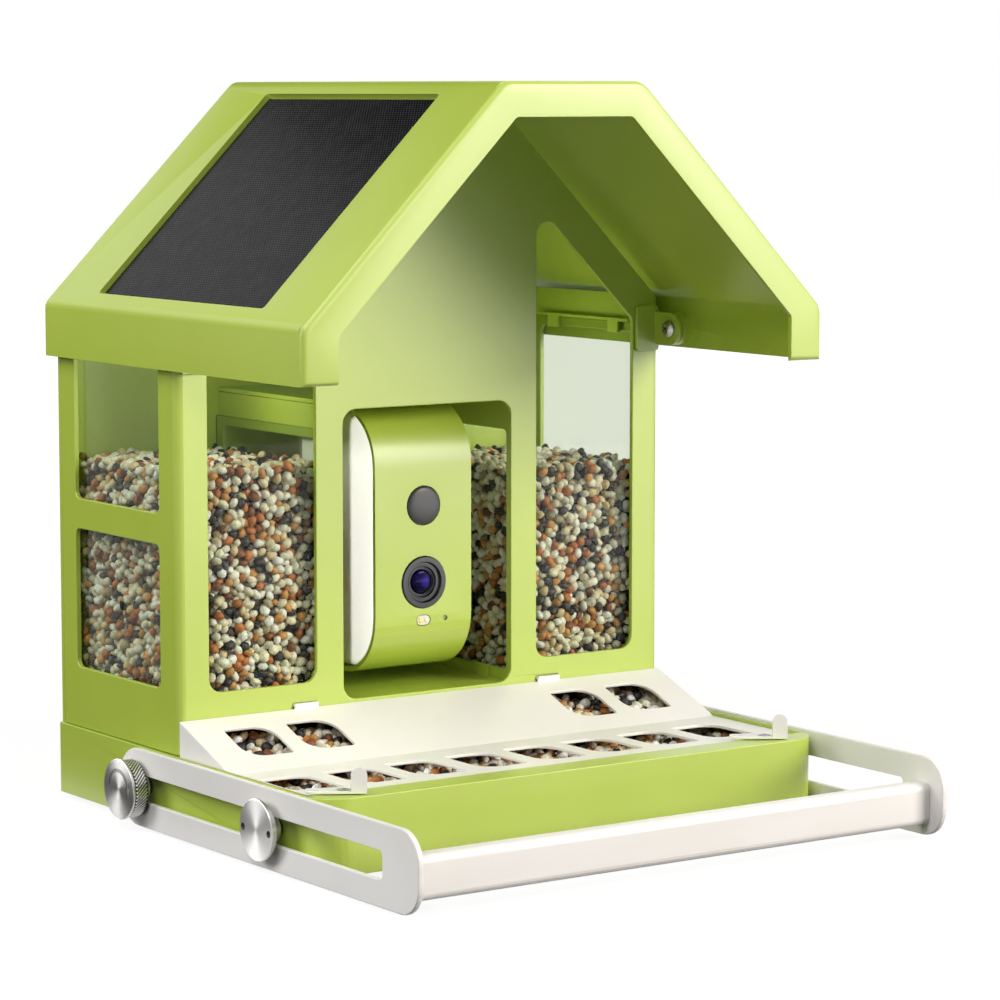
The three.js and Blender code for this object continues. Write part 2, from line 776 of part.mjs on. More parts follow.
function feedingCover() {
  const under = coverFlat - coverSheet;
  const flatPorts = [];
  for (let i = -flatPortPairs; i < flatPortPairs; i += 1) {
    const x = i * portPitch + portPitch / 2 - flatPortShift;
    flatPorts.push(port(x, -coverBend - flatPortStart - flatPortDepth, flatPortDepth));
  }
  const flat = level(
    rectangle(-coverHalfWidth, coverEdge, coverHalfWidth, -coverBend), under, coverFlat, flatPorts,
  );
  const slopePorts = ends.flatMap(([, side]) => Array.from({ length: slopePortCount }, (_, i) => port(
    side * (slopePortInner + i * portPitch), slopeLength - slopePortStart - slopePortDepth, slopePortDepth,
  )));
  const sheetPlan = rectangle(-coverHalfWidth, 0, coverHalfWidth, slopeLength);
  const slope = solid(extruded(sheetPlan, coverSheet, slopePorts)
    .translate(0, 0, -coverSheet).rotateX(slopeAngle).translate(0, -coverBend, coverFlat));
  const knee = lengthwise([
    [-coverBend - coverSheet / 2, under], [-coverBend + coverSheet, under],
    [-coverBend + coverSheet, coverFlat - clearance], [-coverBend, coverFlat],
    [-coverBend - coverSheet / 2, coverFlat],
  ], -coverHalfWidth, coverHalfWidth);
  const cheeks = ends.map(([, side]) => {
    const [x0, x1] = span(side, coverHalfWidth - coverSheet, coverHalfWidth);
    return lengthwise([
      [-coverBend, under], [-clearance, under], [-clearance, coverTop - coverSheet / 2],
      [-coverBend, coverFlat - coverSheet / 2],
    ], x0, x1);
  });
  const tabs = ends.map(([, side]) => {
    const [x0, x1] = span(side, tabOffset - tabWidth / 2, tabOffset + tabWidth / 2);
    return lengthwise([
      [-clearance - coverSheet, coverTop - coverSheet], [-clearance, coverTop - coverSheet],
      [-clearance, coverTop + tabRise - coverSheet], [tabDepth, coverTop + tabRise - coverSheet],
      [tabDepth, coverTop + tabRise], [-clearance - coverSheet, coverTop + tabRise],
    ], x0, x1);
  });
  const trim = block(-roofHalf, roofHalf, -clearance, sheet, rimTop - overrun, coverTop + clearance);
  return join(cut(join(flat, slope, knee), trim), ...cheeks, ...tabs);
}

// Latches, each drawn about its own screw with its strip along X, then turned

function latchPlate() {
  const top = latchLift + latchSheet;
  const strip = level([
    [-latchLength, -latchWidth / 2 + latchTaper, latchForkRadius],
    [-latchLength * latchTaperShare, -latchWidth / 2],
    [latchTail, -latchWidth / 2, latchTailRadius], [latchTail, latchWidth / 2, latchHeelRadius],
    [-latchLength * latchTaperShare, latchWidth / 2],
    [-latchLength, latchWidth / 2 - latchTaper, latchForkRadius],
  ], latchLift, top);
  const fork = level(rectangle(
    -latchLength - overrun, -latchForkWidth / 2, -latchLength + latchForkDepth, latchForkWidth / 2,
    latchForkWidth / 2 * fullRoundShare,
  ), latchLift - overrun, top + overrun);
  const tabRadius = latchTabWidth / 2 * fullRoundShare;
  const tab = upright([
    [latchTail - latchTabWidth, latchLift], [latchTail, latchLift],
    [latchTail, latchLift + latchTabHeight, tabRadius],
    [latchTail - latchTabWidth, latchLift + latchTabHeight, tabRadius],
  ], -latchWidth / 2, -latchWidth / 2 + latchSheet);
  const bore = turned('z', [
    [0, latchLift - overrun], [latchBore, latchLift - overrun], [latchBore, top - latchSinkDepth],
    [latchSinkRadius, top + weld], [latchSinkRadius, top + overrun], [0, top + overrun],
  ], 0, 0, 0);
  return cut(join(strip, tab), fork, bore);
}

// The countersunk screw holds the plate down and stands it off the rim on a small shoulder
function latchScrew(side) {
  const top = latchLift + latchSheet;
  const shank = latchBore - holeGap;
  const x = latchX(side);
  const screw = turned('z', [
    [0, -rimThickness], [shank, -rimThickness], [shank, top - latchSinkDepth + clearance],
    [latchSinkRadius - holeGap, top + clearance / 2], [0, top + clearance / 2],
  ], x, latchY, rimTop);
  return cut(screw, crossSlots('z', x, latchY, rimTop + top + clearance / 2));
}

// A cross-shaped driver recess, sunk along an axis from a head's top
function crossSlots(axis, x, y, z) {
  const r = crossRecess / 2;
  const bars = [
    block(-crossReach, crossReach, -r, r, -crossRecess, overrun),
    block(-r, r, -crossReach, crossReach, -crossRecess, overrun),
  ];
  if (axis === 'z') return join(...bars).translate(x, y, z);
  const turn = axis === 'left' ? -90 : 90;
  return join(...bars).rotate(0, turn, 0).translate(x, y, z);
}

// Perch

function perchArm(side) {
  const [x0, x1] = span(side, armInner, armOuter);
  const low = armAxisZ - armHeight / 2;
  const high = armAxisZ + armHeight / 2;
  const rearRadius = armHeight / 2 * fullRoundShare;
  const profile = [
    [-armFront, low, armFrontRadius], [armRear, low, rearRadius],
    [armRear, high, rearRadius], [-armFront, high, armFrontRadius],
  ];
  const slotEnd = slotHeight / 2 * fullRoundShare;
  const slot = [
    [-slotFront, armAxisZ - slotHeight / 2, slotFrontRadius],
    [rearAxis + slotHeight / 2, armAxisZ - slotHeight / 2, slotEnd],
    [rearAxis + slotHeight / 2, armAxisZ + slotHeight / 2, slotEnd],
    [-slotFront, armAxisZ + slotHeight / 2, slotFrontRadius],
  ];
  return lengthwise(profile, x0, x1, [slot]);
}

function perchBar() {
  const reach = armInner - clearance;
  const middle = armAxisZ - barDrop;
  const bar = (inset) => rectangle(
    -barFront + inset, middle - barHeight / 2 + inset,
    -barFront + barDepth - inset, middle + barHeight / 2 - inset, barCornerRadius - inset,
  );
  return lengthwise(bar(0), -reach, reach, [bar(barWall)]);
}

// Studs carry the clamp knobs and guide screws run in the slots; each has a flange behind the arm

const mirrorProfile = (profile, side) => profile.map(([radius, x]) => [radius, side * x]);

function stud(side) {
  const seat = baseHalf + clearance;
  const end = armOuter + knobStandoff;
  return turned('x', mirrorProfile([
    [0, nutInner - clearance * 2], [threadRadius, nutInner - clearance * 2],
    [threadRadius, seat], [washerRadius, seat], [washerRadius, seat + washerThickness],
    [shankRadius, seat + washerThickness], [shankRadius, end - clearance],
    [knobBore - clearance, end - clearance], [knobBore - clearance, end + knobBoreDepth - clearance],
    [0, end + knobBoreDepth - clearance],
  ], side), 0, rearAxis, armAxisZ);
}

function clampKnob(side) {
  const start = armOuter + knobStandoff;
  const groove = start + knobLength;
  const face = groove + knobGroove;
  const end = face + knobFaceThickness;
  return turned('x', mirrorProfile([
    [knobBore, start], [knobRadius, start], [knobRadius, groove], [knobRadius - knobGrooveDepth, groove],
    [knobRadius - knobGrooveDepth, face], [knobFaceRadius, face], [knobFaceRadius, end], [0, end],
    [0, start + knobBoreDepth], [knobBore, start + knobBoreDepth], [knobBore, start],
  ], side), 0, rearAxis, armAxisZ);
}

function guideScrew(side) {
  const seat = baseHalf + clearance;
  const head = armOuter + guideStandoff;
  const ring = head + guideRingThickness;
  const end = ring + guideHeadThickness;
  const body = turned('x', mirrorProfile([
    [0, nutInner - clearance * 2], [threadRadius, nutInner - clearance * 2],
    [threadRadius, seat], [washerRadius, seat], [washerRadius, seat + washerThickness],
    [shankRadius, seat + washerThickness], [shankRadius, head], [guideRingRadius, head],
    [guideRingRadius, ring], [guideHeadRadius, ring], [guideHeadRadius, end], [0, end],
  ], side), 0, -frontAxis, armAxisZ);
  const dimples = [-spannerOffset, spannerOffset].map((offset) => {
    const [x0, x1] = span(side, end - spannerDepth, end + overrun);
    return rod('x', spannerRadius, x0, x1, 0, -frontAxis + offset, armAxisZ);
  });
  return cut(body, ...dimples);
}

// Roof, with the solar pocket let into its left slope

// A plan on the left slope: u runs up the slope from the eave bend, v along Y
function onSlope(u0, u1, v0, v1, depth0, depth1, radius = 0) {
  return solid(extruded(rectangle(u0, v0, u1, v1, radius), depth0 - depth1)
    .translate(0, 0, -depth0).rotateY(-pitch).translate(-roofHalf, 0, roofShoulder));
}

const lugOuter = half - bracketInset;
const lugInner = lugOuter - lugThickness;
const slopeCentre = (roofBack - roofFrontOverhang) / 2 + pocketShift;
const pocketFront = slopeCentre - pocketLength / 2;
const pocketBack = slopeCentre + pocketLength / 2;
const pocketEnd = pocketStart + pocketRise;
const junctionMiddle = pocketBack - junctionInset - junctionLength / 2;

function roofShell() {
  const face = new THREE.Shape(outline(
    roofOutline(frontEdgeRadius, eave + frontEdgeRadius, [eaveBendRadius, ridgeBendRadius]),
  ));
  const depth = roofBack + roofFrontOverhang - frontEdgeRadius;
  const bevelled = new THREE.ExtrudeGeometry(face, {
    depth, bevelEnabled: true, bevelSize: frontEdgeRadius,
    bevelThickness: frontEdgeRadius, bevelSegments: bevelSteps,
  });
  const rounded = solid(bevelled.rotateX(Math.PI / 2).translate(0, roofBack, 0));
  const wide = roofHalf + overrun;
  const rearTrim = block(-wide, wide, roofBack, roofBack + overrun, 0, ridge + overrun);
  const footTrim = block(
    -wide, wide, -roofFrontOverhang - overrun, roofBack + overrun, 0, eave + weld,
  );
  const square = upright(
    roofOutline(0, eave, [eaveBendRadius, ridgeBendRadius]),
    -roofFrontOverhang + frontEdgeRadius, roofBack,
  );
  const outer = cut(join(rounded, square), rearTrim, footTrim);
  const inner = upright(
    roofOutline(roofSheet, eave - overrun, [eaveBendRadius / 2, ridgeBendRadius - roofSheet]),
    -roofFrontOverhang + roofSheet, roofBack + overrun,
  );
  const bandTop = roofOutline(bandWidth, eave - overrun);
  const mouthHalf = roofHalf - sideBandWidth;
  const kink = Math.tan(pitch / 2);
  const mouthShoulder = ridge - bandWidth - (mouthHalf - (ridgeHalf - bandWidth * kink)) * Math.tan(pitch);
  const mouth = upright([
    [-mouthHalf, eave - overrun], [mouthHalf, eave - overrun], [mouthHalf, mouthShoulder, bandRadius],
    [bandTop[3][0], bandTop[3][1], bandRadius], [bandTop[4][0], bandTop[4][1], bandRadius],
    [-mouthHalf, mouthShoulder, bandRadius],
  ], -roofFrontOverhang - overrun, -roofFrontOverhang + roofSheet + overrun);
  const pocketShell = onSlope(
    pocketStart - pocketWall, pocketEnd + pocketWall, pocketFront - pocketWall, pocketBack + pocketWall,
    roofSheet / 2, pocketDepth + pocketFloor,
  );
  const pocket = onSlope(
    pocketStart, pocketEnd, pocketFront, pocketBack, -overrun, pocketDepth, pocketRadius,
  );
  const leadHole = onSlope(
    pocketEnd / 2, pocketEnd / 2 + leadSide, junctionMiddle, junctionMiddle + leadSide,
    0, pocketDepth + pocketFloor + overrun,
  );
  const bosses = ends.map(([, side]) => hingeBoss(side));
  return cut(join(cut(outer, inner, mouth), pocketShell, ...bosses), pocket, leadHole);
}

function solarPanel() {
  return onSlope(
    pocketStart + panelMargin, pocketEnd - panelMargin, pocketFront + panelMargin, pocketBack - panelMargin,
    pocketDepth - clearance - panelThickness, pocketDepth - clearance, panelRadius,
  );
}

function junctionBox() {
  const top = pocketDepth + pocketFloor + clearance;
  const middle = pocketEnd / 2;
  return onSlope(
    middle - junctionWidth / 2, middle + junctionWidth / 2,
    junctionMiddle - junctionLength / 2, junctionMiddle + junctionLength / 2,
    top, top + junctionDepth, junctionRadius,
  );
}

function hingeBracket(side) {
  const [x0, x1] = span(side, lugInner, lugOuter);
  const face = -clearance;
  const lug = lengthwise([
    [pivotY - lugRadius, pivotZ - lugRadius, lugRadius * fullRoundShare], [face, pivotZ - lugRadius],
    [face, pivotZ + lugRadius], [pivotY - lugRadius, pivotZ + lugRadius, lugRadius * fullRoundShare],
  ], x0, x1);
  const [p0, p1] = span(side, lugOuter - bracketWidth, lugOuter);
  const plate = upright(rectangle(
    p0, pivotZ - bracketHeight / 2, p1, pivotZ + bracketHeight / 2, bracketRadius,
  ), face - bracketThickness, face);
  const bore = rod('x', hingeShankRadius + holeGap, x0 - overrun, x1 + overrun, 0, pivotY, pivotZ);
  return cut(join(lug, plate), bore);
}

function hingeScrew(side) {
  const head = lugInner - clearance;
  const tip = roofHalf - roofSheet - clearance * 2;
  const [topShare, rimShare] = hingeHeadShares;
  const profile = mirrorProfile([
    [0, head - hingeHeadHeight], [hingeHeadRadius * topShare, head - hingeHeadHeight],
    [hingeHeadRadius * rimShare, head - hingeHeadHeight * hingeDomeShare], [hingeHeadRadius, head],
    [hingeShankRadius, head], [hingeShankRadius, tip], [0, tip],
  ], side);
  const slots = crossSlots(side < 0 ? 'right' : 'left', side * (head - hingeHeadHeight), pivotY, pivotZ);
  return cut(turned('x', profile, 0, pivotY, pivotZ), slots);
}

function hingeBoss(side) {
  const [x0, x1] = span(side, lugOuter + clearance, roofHalf - roofSheet / 2);
  const ring = [
    [hingeShankRadius + holeGap, x0], [lugRadius, x0], [lugRadius, x1],
    [hingeShankRadius + holeGap, x1], [hingeShankRadius + holeGap, x0],
  ];
  return turned('x', ring, 0, pivotY, pivotZ);
}

// Camera, drawn about its own foot: Y is 0 on the front of its cover, Z is 0 at its lowest point

const cameraHalf = cameraWidth / 2;
const bodyHalf = cameraHalf - cameraBodyInset;
const bodyInset = cameraCoverSheet + holeGap;
const bodyBack = cameraDepth - cameraBackSheet - clearance;
const cameraMountZ = cameraFloor + cameraHeight / 2;
const speakerFoot = bodyInset + cameraBodyWall + clearance;

const cameraSide = (inset, back) => [
  [inset, inset, cameraCornerRadius - inset], [back, inset],
  [back, cameraHeight - inset], [inset, cameraHeight - inset, cameraCornerRadius - inset],
];

const through = (radius, x, z, depth) => rod('y', radius, -overrun, depth, x, 0, z);
const ledPlan = (grow) => rectangle(
  -ledWidth / 2 - grow, ledHeight - ledTall / 2 - grow, ledWidth / 2 + grow, ledHeight + ledTall / 2 + grow,
  ledTall / 2 * fullRoundShare + grow,
);

function frontOpenings() {
  const depth = bodyInset + cameraBodyWall + overrun;
  return [
    through(pirRadius + holeGap, 0, pirHeight, depth),
    through(bezelRadius + holeGap, 0, lensHeight, depth),
    upright(ledPlan(holeGap), -overrun, depth),
    through(micHole, micOffset, micHeight, depth),
  ];
}

function cameraCover() {
  const outer = lengthwise(cameraSide(0, cameraCoverDepth), -cameraHalf, cameraHalf);
  const inner = lengthwise(
    cameraSide(cameraCoverSheet, cameraCoverDepth + overrun), -cameraWidth, cameraWidth,
  );
  return cut(outer, inner, ...frontOpenings());
}

function cameraBody() {
  const corners = cameraSide(bodyInset + cameraEdgeRadius, bodyBack - cameraEdgeRadius);
  const soft = new THREE.ExtrudeGeometry(new THREE.Shape(outline(corners)), {
    depth: (bodyHalf - cameraEdgeRadius) * 2, bevelEnabled: true,
    bevelSize: cameraEdgeRadius, bevelThickness: cameraEdgeRadius, bevelSegments: bevelSteps,
  });
  const outer = solid(soft.rotateX(Math.PI / 2).rotateZ(Math.PI / 2)
    .translate(-bodyHalf + cameraEdgeRadius, 0, 0));
  const wall = cameraBodyWall;
  const inner = lengthwise(
    cameraSide(bodyInset + wall, bodyBack + overrun), -bodyHalf + wall, bodyHalf - wall,
  );
  const flatBack = block(
    -cameraWidth, cameraWidth, bodyBack - cameraEdgeRadius, cameraDepth + overrun, 0, cameraHeight,
  );
  return cut(outer, inner, flatBack, ...frontOpenings());
}

function cameraBack() {
  const inset = bodyInset + cameraBodyInset;
  const y0 = bodyBack - cameraEdgeRadius + clearance;
  const plate = upright(
    rectangle(-bodyHalf, inset, bodyHalf, cameraHeight - inset, cameraEdgeRadius),
    y0, y0 + cameraBackSheet,
  );
  const insert = rod(
    'y', mountBore + arcTolerance, y0 - overrun, y0 + cameraBackSheet + overrun, 0, 0, cameraHeight / 2,
  );
  return cut(plate, insert);
}

const cameraBackFace = cameraSetback + bodyBack - cameraEdgeRadius + clearance + cameraBackSheet;

function pirLens() {
  const dome = pirDomeShares.map(([out, rise]) => [pirRadius * out, -pirRise * rise]);
  const inside = dome.map(([radius, y]) => [radius, y + pirWall]).reverse();
  return turned('y', [
    [pirRadius - pirWall, pirDepth], [pirRadius, pirDepth], [pirRadius, 0], ...dome, [0, -pirRise],
    [0, pirWall - pirRise], ...inside, [pirRadius - pirWall, pirWall], [pirRadius - pirWall, pirDepth],
  ], 0, 0, pirHeight);
}

function lensBezel() {
  const [outer, inner, step] = bezelRingShares.map((share) => bezelRadius * share);
  return turned('y', [
    [bezelBore, bezelDepth], [bezelRadius, bezelDepth], [bezelRadius, -bezelRise * bezelLipShare],
    [outer, -bezelRise], [inner, -bezelRise], [step, bezelRise], [bezelBore, bezelDish],
    [bezelBore, bezelDepth],
  ], 0, 0, lensHeight);
}

function lensBarrel() {
  return turned('y', [
    [0, barrelDepth], [barrelRadius, barrelDepth], [barrelRadius, barrelFront],
    [barrelRadius - barrelWall, barrelFront], [glassRadius + holeGap, barrelFront + glassSink],
    [0, barrelFront + glassSink],
  ], 0, 0, lensHeight);
}

function lensFront() {
  const seat = barrelFront + glassSink - clearance;
  const dome = glassDomeShares.map(([out, rise]) => [glassRadius * out, seat - glassThickness * rise]);
  return turned('y', [
    [0, seat], [glassRadius, seat], ...dome, [0, seat - glassThickness],
  ], 0, 0, lensHeight);
}

// The main board carries the motion sensor's can and the microphone, which reach towards the front
function mainBoard() {
  const edge = bodyHalf - cameraBodyWall - clearance;
  const plate = upright(
    rectangle(-edge, boardEdge, edge, cameraHeight - boardEdge, boardRadius),
    boardSetback, boardSetback + boardThickness,
  );
  const middle = boardSetback + boardThickness / 2;
  const can = rod('y', pirCanRadius, pirCanDepth, middle, 0, 0, pirHeight);
  const capsule = rod(
    'y', micRadius, bodyInset + cameraBodyWall + micDepth, middle, micOffset, 0, micHeight,
  );
  return join(plate, can, capsule);
}

function ledWindow() {
  return upright(ledPlan(0), clearance, ledDepth);
}

function batteryPack() {
  const y = bodyBack - cameraEdgeRadius - batteryRadius;
  const foot = speakerFoot + speakerDepth + batteryLift;
  const cells = [-1, 1].map((side) => rod(
    'z', batteryRadius, foot, foot + batteryLength, side * (batteryRadius + clearance), y, 0,
    cellSides,
  ));
  const [strapFoot, strapTop] = strapShares.map((share) => foot + batteryLength * share);
  const strap = block(
    -strapHalf, strapHalf, y - batteryRadius, y + batteryRadius, strapFoot, strapTop,
  );
  return join(...cells, strap);
}

// Seed fill: the tray's has a rippled top, and the bins' is lumpy on every side

function ripple(start, end, z) {
  const steps = Math.max(2, Math.round(Math.abs(end - start) / seedRippleLength));
  const points = [];
  for (let i = 0; i <= steps; i += 1) {
    const height = i % 2 === 0 ? 0 : seedRipple;
    points.push([start + (end - start) * i / steps, z - height]);
  }
  return points;
}

// A rectangle with hollows between the crests on its edges, which end in a crest at each corner
function rippled(a0, b0, a1, b1) {
  const along = (start, end) => {
    const crests = Math.max(1, Math.round(Math.abs(end - start) / seedRippleLength / 2));
    return Array.from({ length: crests * 2 }, (_, i) => [
      start + (end - start) * i / crests / 2, i % 2 === 0 ? 0 : seedHollow,
    ]);
  };
  return [
    ...along(a0, a1).map(([a, hollow]) => [a, b0 + hollow]),
    ...along(b0, b1).map(([b, hollow]) => [a1 - hollow, b]),
    ...along(a1, a0).map(([a, hollow]) => [a, b1 - hollow]),
    ...along(b1, b0).map(([b, hollow]) => [a0 + hollow, b]),
  ];
}

const seedFront = bayFront + paneSheet + seedClearance;
const seedBack = rampBack - seedClearance;
const rampSlope = (rampHigh - rampLow) / (rampBack - rampFront);
const rampAt = (y) => rampLow + rampSheet + (y - rampFront) * rampSlope;

function binSeed(side) {
  const top = rimTop + seedLevel - (side > 0 ? seedRightDrop : 0);
  const wide = half - sheet - clearance - paneSheet - seedClearance;
  const near = dividerOuter + clearance + paneSheet + seedClearance;
  const [x0, x1] = span(side, near, wide);
  const [n0, n1] = span(side, near, half - rampSideGap - seedClearance);
  const above = rampHigh + rampSheet + seedClearance * 2;
  const front = Math.max(seedFront, rampFront);
  const upper = lengthwise(rippled(seedFront, above, seedBack, top), x0, x1)
    .intersect(level(rippled(x0, seedFront, x1, seedBack), above, top))
    .intersect(upright(rippled(x0, above, x1, top), seedFront, seedBack));
  const lower = lengthwise([
    [front, rampAt(front) + seedClearance * 2], [seedBack, rampAt(seedBack) + seedClearance * 2],
    [seedBack, above + rearFlange], [front, above + rearFlange],
  ], n0, n1);
  const tabClear = rearScrewPlaces.map(([x, z]) => {
    const outer = half - sheet - clearance;
    const [a0, a1] = span(Math.sign(x), outer - rearFlange, outer + overrun);
    return block(
      a0, a1, houseDepth - sheet * 2 - rearScrewInset, houseDepth, z - rearFlange / 2, z + rearFlange / 2,
    );
  });
  return cut(join(upper, lower), ...tabClear);
}

function traySeed() {
  const inner = half - rampSideGap - seedClearance;
  const front = -trayReach + baseWall + seedClearance;
  const top = coverFlat - coverSheet - seedTrayDepth;
  const rearTop = rimTop + seedThroatRise;
  const bottom = footHeight + baseFloor + clearance;
  const back = rampFront - seedPanGap;
  const corners = [
    [front, bottom], [back, bottom], [back, rimTop], [0, rearTop], ...ripple(-coverBend, front, top),
  ];
  const body = lengthwise(corners, -inner, inner);
  return body.intersect(level(basePlan(baseWall + seedClearance), 0, ridge));
}

// The whole feeder

const feeder = new THREE.Group();
const house = new THREE.Group();
const tray = new THREE.Group();
const roof = new THREE.Group();
const perch = new THREE.Group();
const camera = new THREE.Group();
camera.position.set(0, cameraSetback, cameraFloor);
feeder.add(house, tray, roof, perch, camera);

place(tray, 'base_pan', basePan(), greenPaint);
place(tray, 'feeding_cover', feedingCover(), whitePaint);
place(tray, 'seed_tray', traySeed(), seedMix);
for (const [name, side] of ends) {
  const mesh = new THREE.Mesh(geometryOf(latchPlate()), whitePaint);
  mesh.name = `tray_latch_${name}`;
  mesh.position.set(latchX(side), latchY, rimTop);
  mesh.rotation.z = THREE.MathUtils.degToRad(-latchAngle);
  tray.add(mesh);
  place(tray, `latch_screw_${name}`, latchScrew(side), steel);
  place(tray, `rubber_foot_${name}`, foot(side), rubber);
}

place(house, 'house_front_wrap', houseWrap(), greenPaint);
place(house, 'back_panel', backPanel(), greenPaint);
rearScrewPlaces.forEach((spot, i) => place(house, `rear_screw_${i + 1}`, rearScrew(spot), steel));
place(house, 'bay_floor', bayFloor(), greenPaint);
place(house, 'bay_ceiling', bayCeiling(), greenPaint);
place(house, 'hopper_ramp', hopperRamp(), greenPaint);
for (const [name, side] of ends) {
  place(house, `bay_divider_${name}`, divider(side), greenPaint);
  place(house, `divider_pane_${name}`, dividerPane(side), clearPlastic);
  place(house, `front_pane_${name}`, frontPane(side), clearPlastic);
  place(house, `side_pane_${name}`, sidePane(side), clearPlastic);
  place(house, `pane_strip_${name}`, paneStrip(side), greenPaint);
  place(house, `seed_${name}`, binSeed(side), seedMix);
  place(house, `hinge_bracket_${name}`, hingeBracket(side), greenPaint);
}

place(roof, 'roof_shell', roofShell(), greenPaint);
place(roof, 'solar_panel', solarPanel(), solarGlass);
place(roof, 'solar_junction_box', junctionBox(), blackPlastic);
for (const [name, side] of ends) {
  place(roof, `hinge_screw_${name}`, hingeScrew(side), steel);
}

place(perch, 'perch_bar', perchBar(), whitePaint);
for (const [name, side] of ends) {
  place(perch, `perch_arm_${name}`, perchArm(side), whitePaint);
  place(perch, `clamp_stud_${name}`, stud(side), steel);
  place(perch, `clamp_knob_${name}`, clampKnob(side), steel);
  place(perch, `guide_screw_${name}`, guideScrew(side), steel);
}

place(camera, 'camera_cover', cameraCover(), greenPaint);
place(camera, 'camera_body', cameraBody(), frosted);
place(camera, 'camera_back', cameraBack(), frosted);
place(camera, 'pir_lens', pirLens(), blackPlastic);
place(camera, 'lens_bezel', lensBezel(), blackPlastic);
place(camera, 'lens_barrel', lensBarrel(), blackPlastic);
place(camera, 'lens_glass', lensFront(), lensGlass);
place(camera, 'led_window', ledWindow(), ledYellow);
place(camera, 'main_board', mainBoard(), boardGreen);
place(camera, 'battery_pack', batteryPack(), cellWrap);
place(camera, 'speaker', rod(
  'z', speakerRadius, speakerFoot, speakerFoot + speakerDepth, 0, cameraDepth - speakerDrop, 0, speakerSides,
), blackPlastic);

const mountPost = cut(
  rod('y', mountRadius, cameraBackFace + clearance, bayBack, 0, 0, cameraMountZ),
  rod('y', mountBore + arcTolerance, cameraBackFace - overrun, bayBack + overrun, 0, 0, cameraMountZ),
);
place(house, 'camera_mount', mountPost, blackPlastic);
const mountScrew = turned('y', [
  [0, cameraBackFace - cameraBackSheet], [mountBore - clearance, cameraBackFace - cameraBackSheet],
  [mountBore - clearance, houseDepth + clearance], [mountHeadRadius, houseDepth + clearance],
  [mountHeadRadius, houseDepth + clearance + mountHeadHeight], [0, houseDepth + clearance + mountHeadHeight],
], 0, 0, cameraMountZ);
place(house, 'camera_mount_screw', mountScrew, steel);

// The origin is the middle of the footprint: halfway between the perch's front and the base's rear
feeder.position.y = (armFront - baseBack) / 2;

export default feeder;
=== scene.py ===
# Bird feeder with a camera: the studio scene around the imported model, in metres.
import json
import math
import random

import bpy
import numpy as np
from mathutils import Euler, Matrix, Quaternion, Vector
from mathutils.bvhtree import BVHTree


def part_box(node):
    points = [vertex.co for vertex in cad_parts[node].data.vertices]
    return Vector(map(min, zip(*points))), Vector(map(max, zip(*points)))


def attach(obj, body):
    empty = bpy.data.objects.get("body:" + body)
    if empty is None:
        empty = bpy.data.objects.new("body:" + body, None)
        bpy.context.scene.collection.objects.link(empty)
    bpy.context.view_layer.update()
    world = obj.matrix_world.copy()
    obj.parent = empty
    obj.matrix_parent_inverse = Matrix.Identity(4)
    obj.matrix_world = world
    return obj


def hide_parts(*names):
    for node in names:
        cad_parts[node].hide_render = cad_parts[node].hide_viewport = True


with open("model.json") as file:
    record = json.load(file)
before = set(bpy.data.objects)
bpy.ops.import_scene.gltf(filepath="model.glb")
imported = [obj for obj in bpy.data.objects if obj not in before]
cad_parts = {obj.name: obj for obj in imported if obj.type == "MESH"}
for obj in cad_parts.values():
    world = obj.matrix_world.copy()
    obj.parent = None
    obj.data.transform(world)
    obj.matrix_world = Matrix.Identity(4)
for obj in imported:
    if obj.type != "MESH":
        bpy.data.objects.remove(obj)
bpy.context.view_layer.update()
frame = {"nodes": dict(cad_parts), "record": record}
nodes = frame["nodes"]
bodies = frame["record"]["behaviour"]["bodies"]
bodyOf = {node: body for body, members in bodies.items() for node in members}
slotOf = {part["node"]: part["material_slot"] for part in frame["record"]["subparts"]}
mm = 0.001
# The front panel's outer face: places below are measured back from it
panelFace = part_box("house_front_wrap")[0].y / mm
print("frame loaded:", len(nodes), "nodes")


# Small helpers

def linear(hexColour):
    # A colour as a screen shows it, turned into the linear values that light adds up in
    channels = [int(hexColour[i:i + 2], 16) / 255 for i in (1, 3, 5)]
    return tuple(c / 12.92 if c <= 0.04045 else ((c + 0.055) / 1.055) ** 2.4 for c in channels) + (1,)


def addNode(tree, kind, inputs=None, **settings):
    # An input is another node's output or else a plain value
    node = tree.nodes.new(kind)
    for name, value in settings.items():
        setattr(node, name, value)
    for name, value in (inputs or {}).items():
        if isinstance(value, bpy.types.NodeSocket):
            tree.links.new(value, node.inputs[name])
        else:
            node.inputs[name].default_value = value
    return node


def startMaterial(name):
    material = bpy.data.materials.new(name)
    material.use_nodes = True
    tree = material.node_tree
    tree.nodes.clear()
    place = addNode(tree, "ShaderNodeTexCoord").outputs["Object"]
    return material, tree, place


def closeMaterial(material, shader):
    addNode(material.node_tree, "ShaderNodeOutputMaterial", {"Surface": shader})
    return material


def principled(tree, inputs):
    return addNode(tree, "ShaderNodeBsdfPrincipled", inputs).outputs["BSDF"]


def mixColours(tree, share, first, second, **settings):
    mix = addNode(tree, "ShaderNodeMix", {0: share, 6: first, 7: second}, data_type="RGBA", **settings)
    return mix.outputs[2]


def maths(tree, operation, *inputs):
    return addNode(tree, "ShaderNodeMath", dict(enumerate(inputs)), operation=operation).outputs[0]


def lengthOf(tree, vector):
    return addNode(tree, "ShaderNodeVectorMath", {0: vector}, operation="LENGTH").outputs["Value"]


def ranged(tree, value, fromMin, fromMax, toMin=0.0, toMax=1.0, **settings):
    return addNode(tree, "ShaderNodeMapRange", {
        "Value": value, "From Min": fromMin, "From Max": fromMax, "To Min": toMin, "To Max": toMax,
    }, **settings).outputs["Result"]


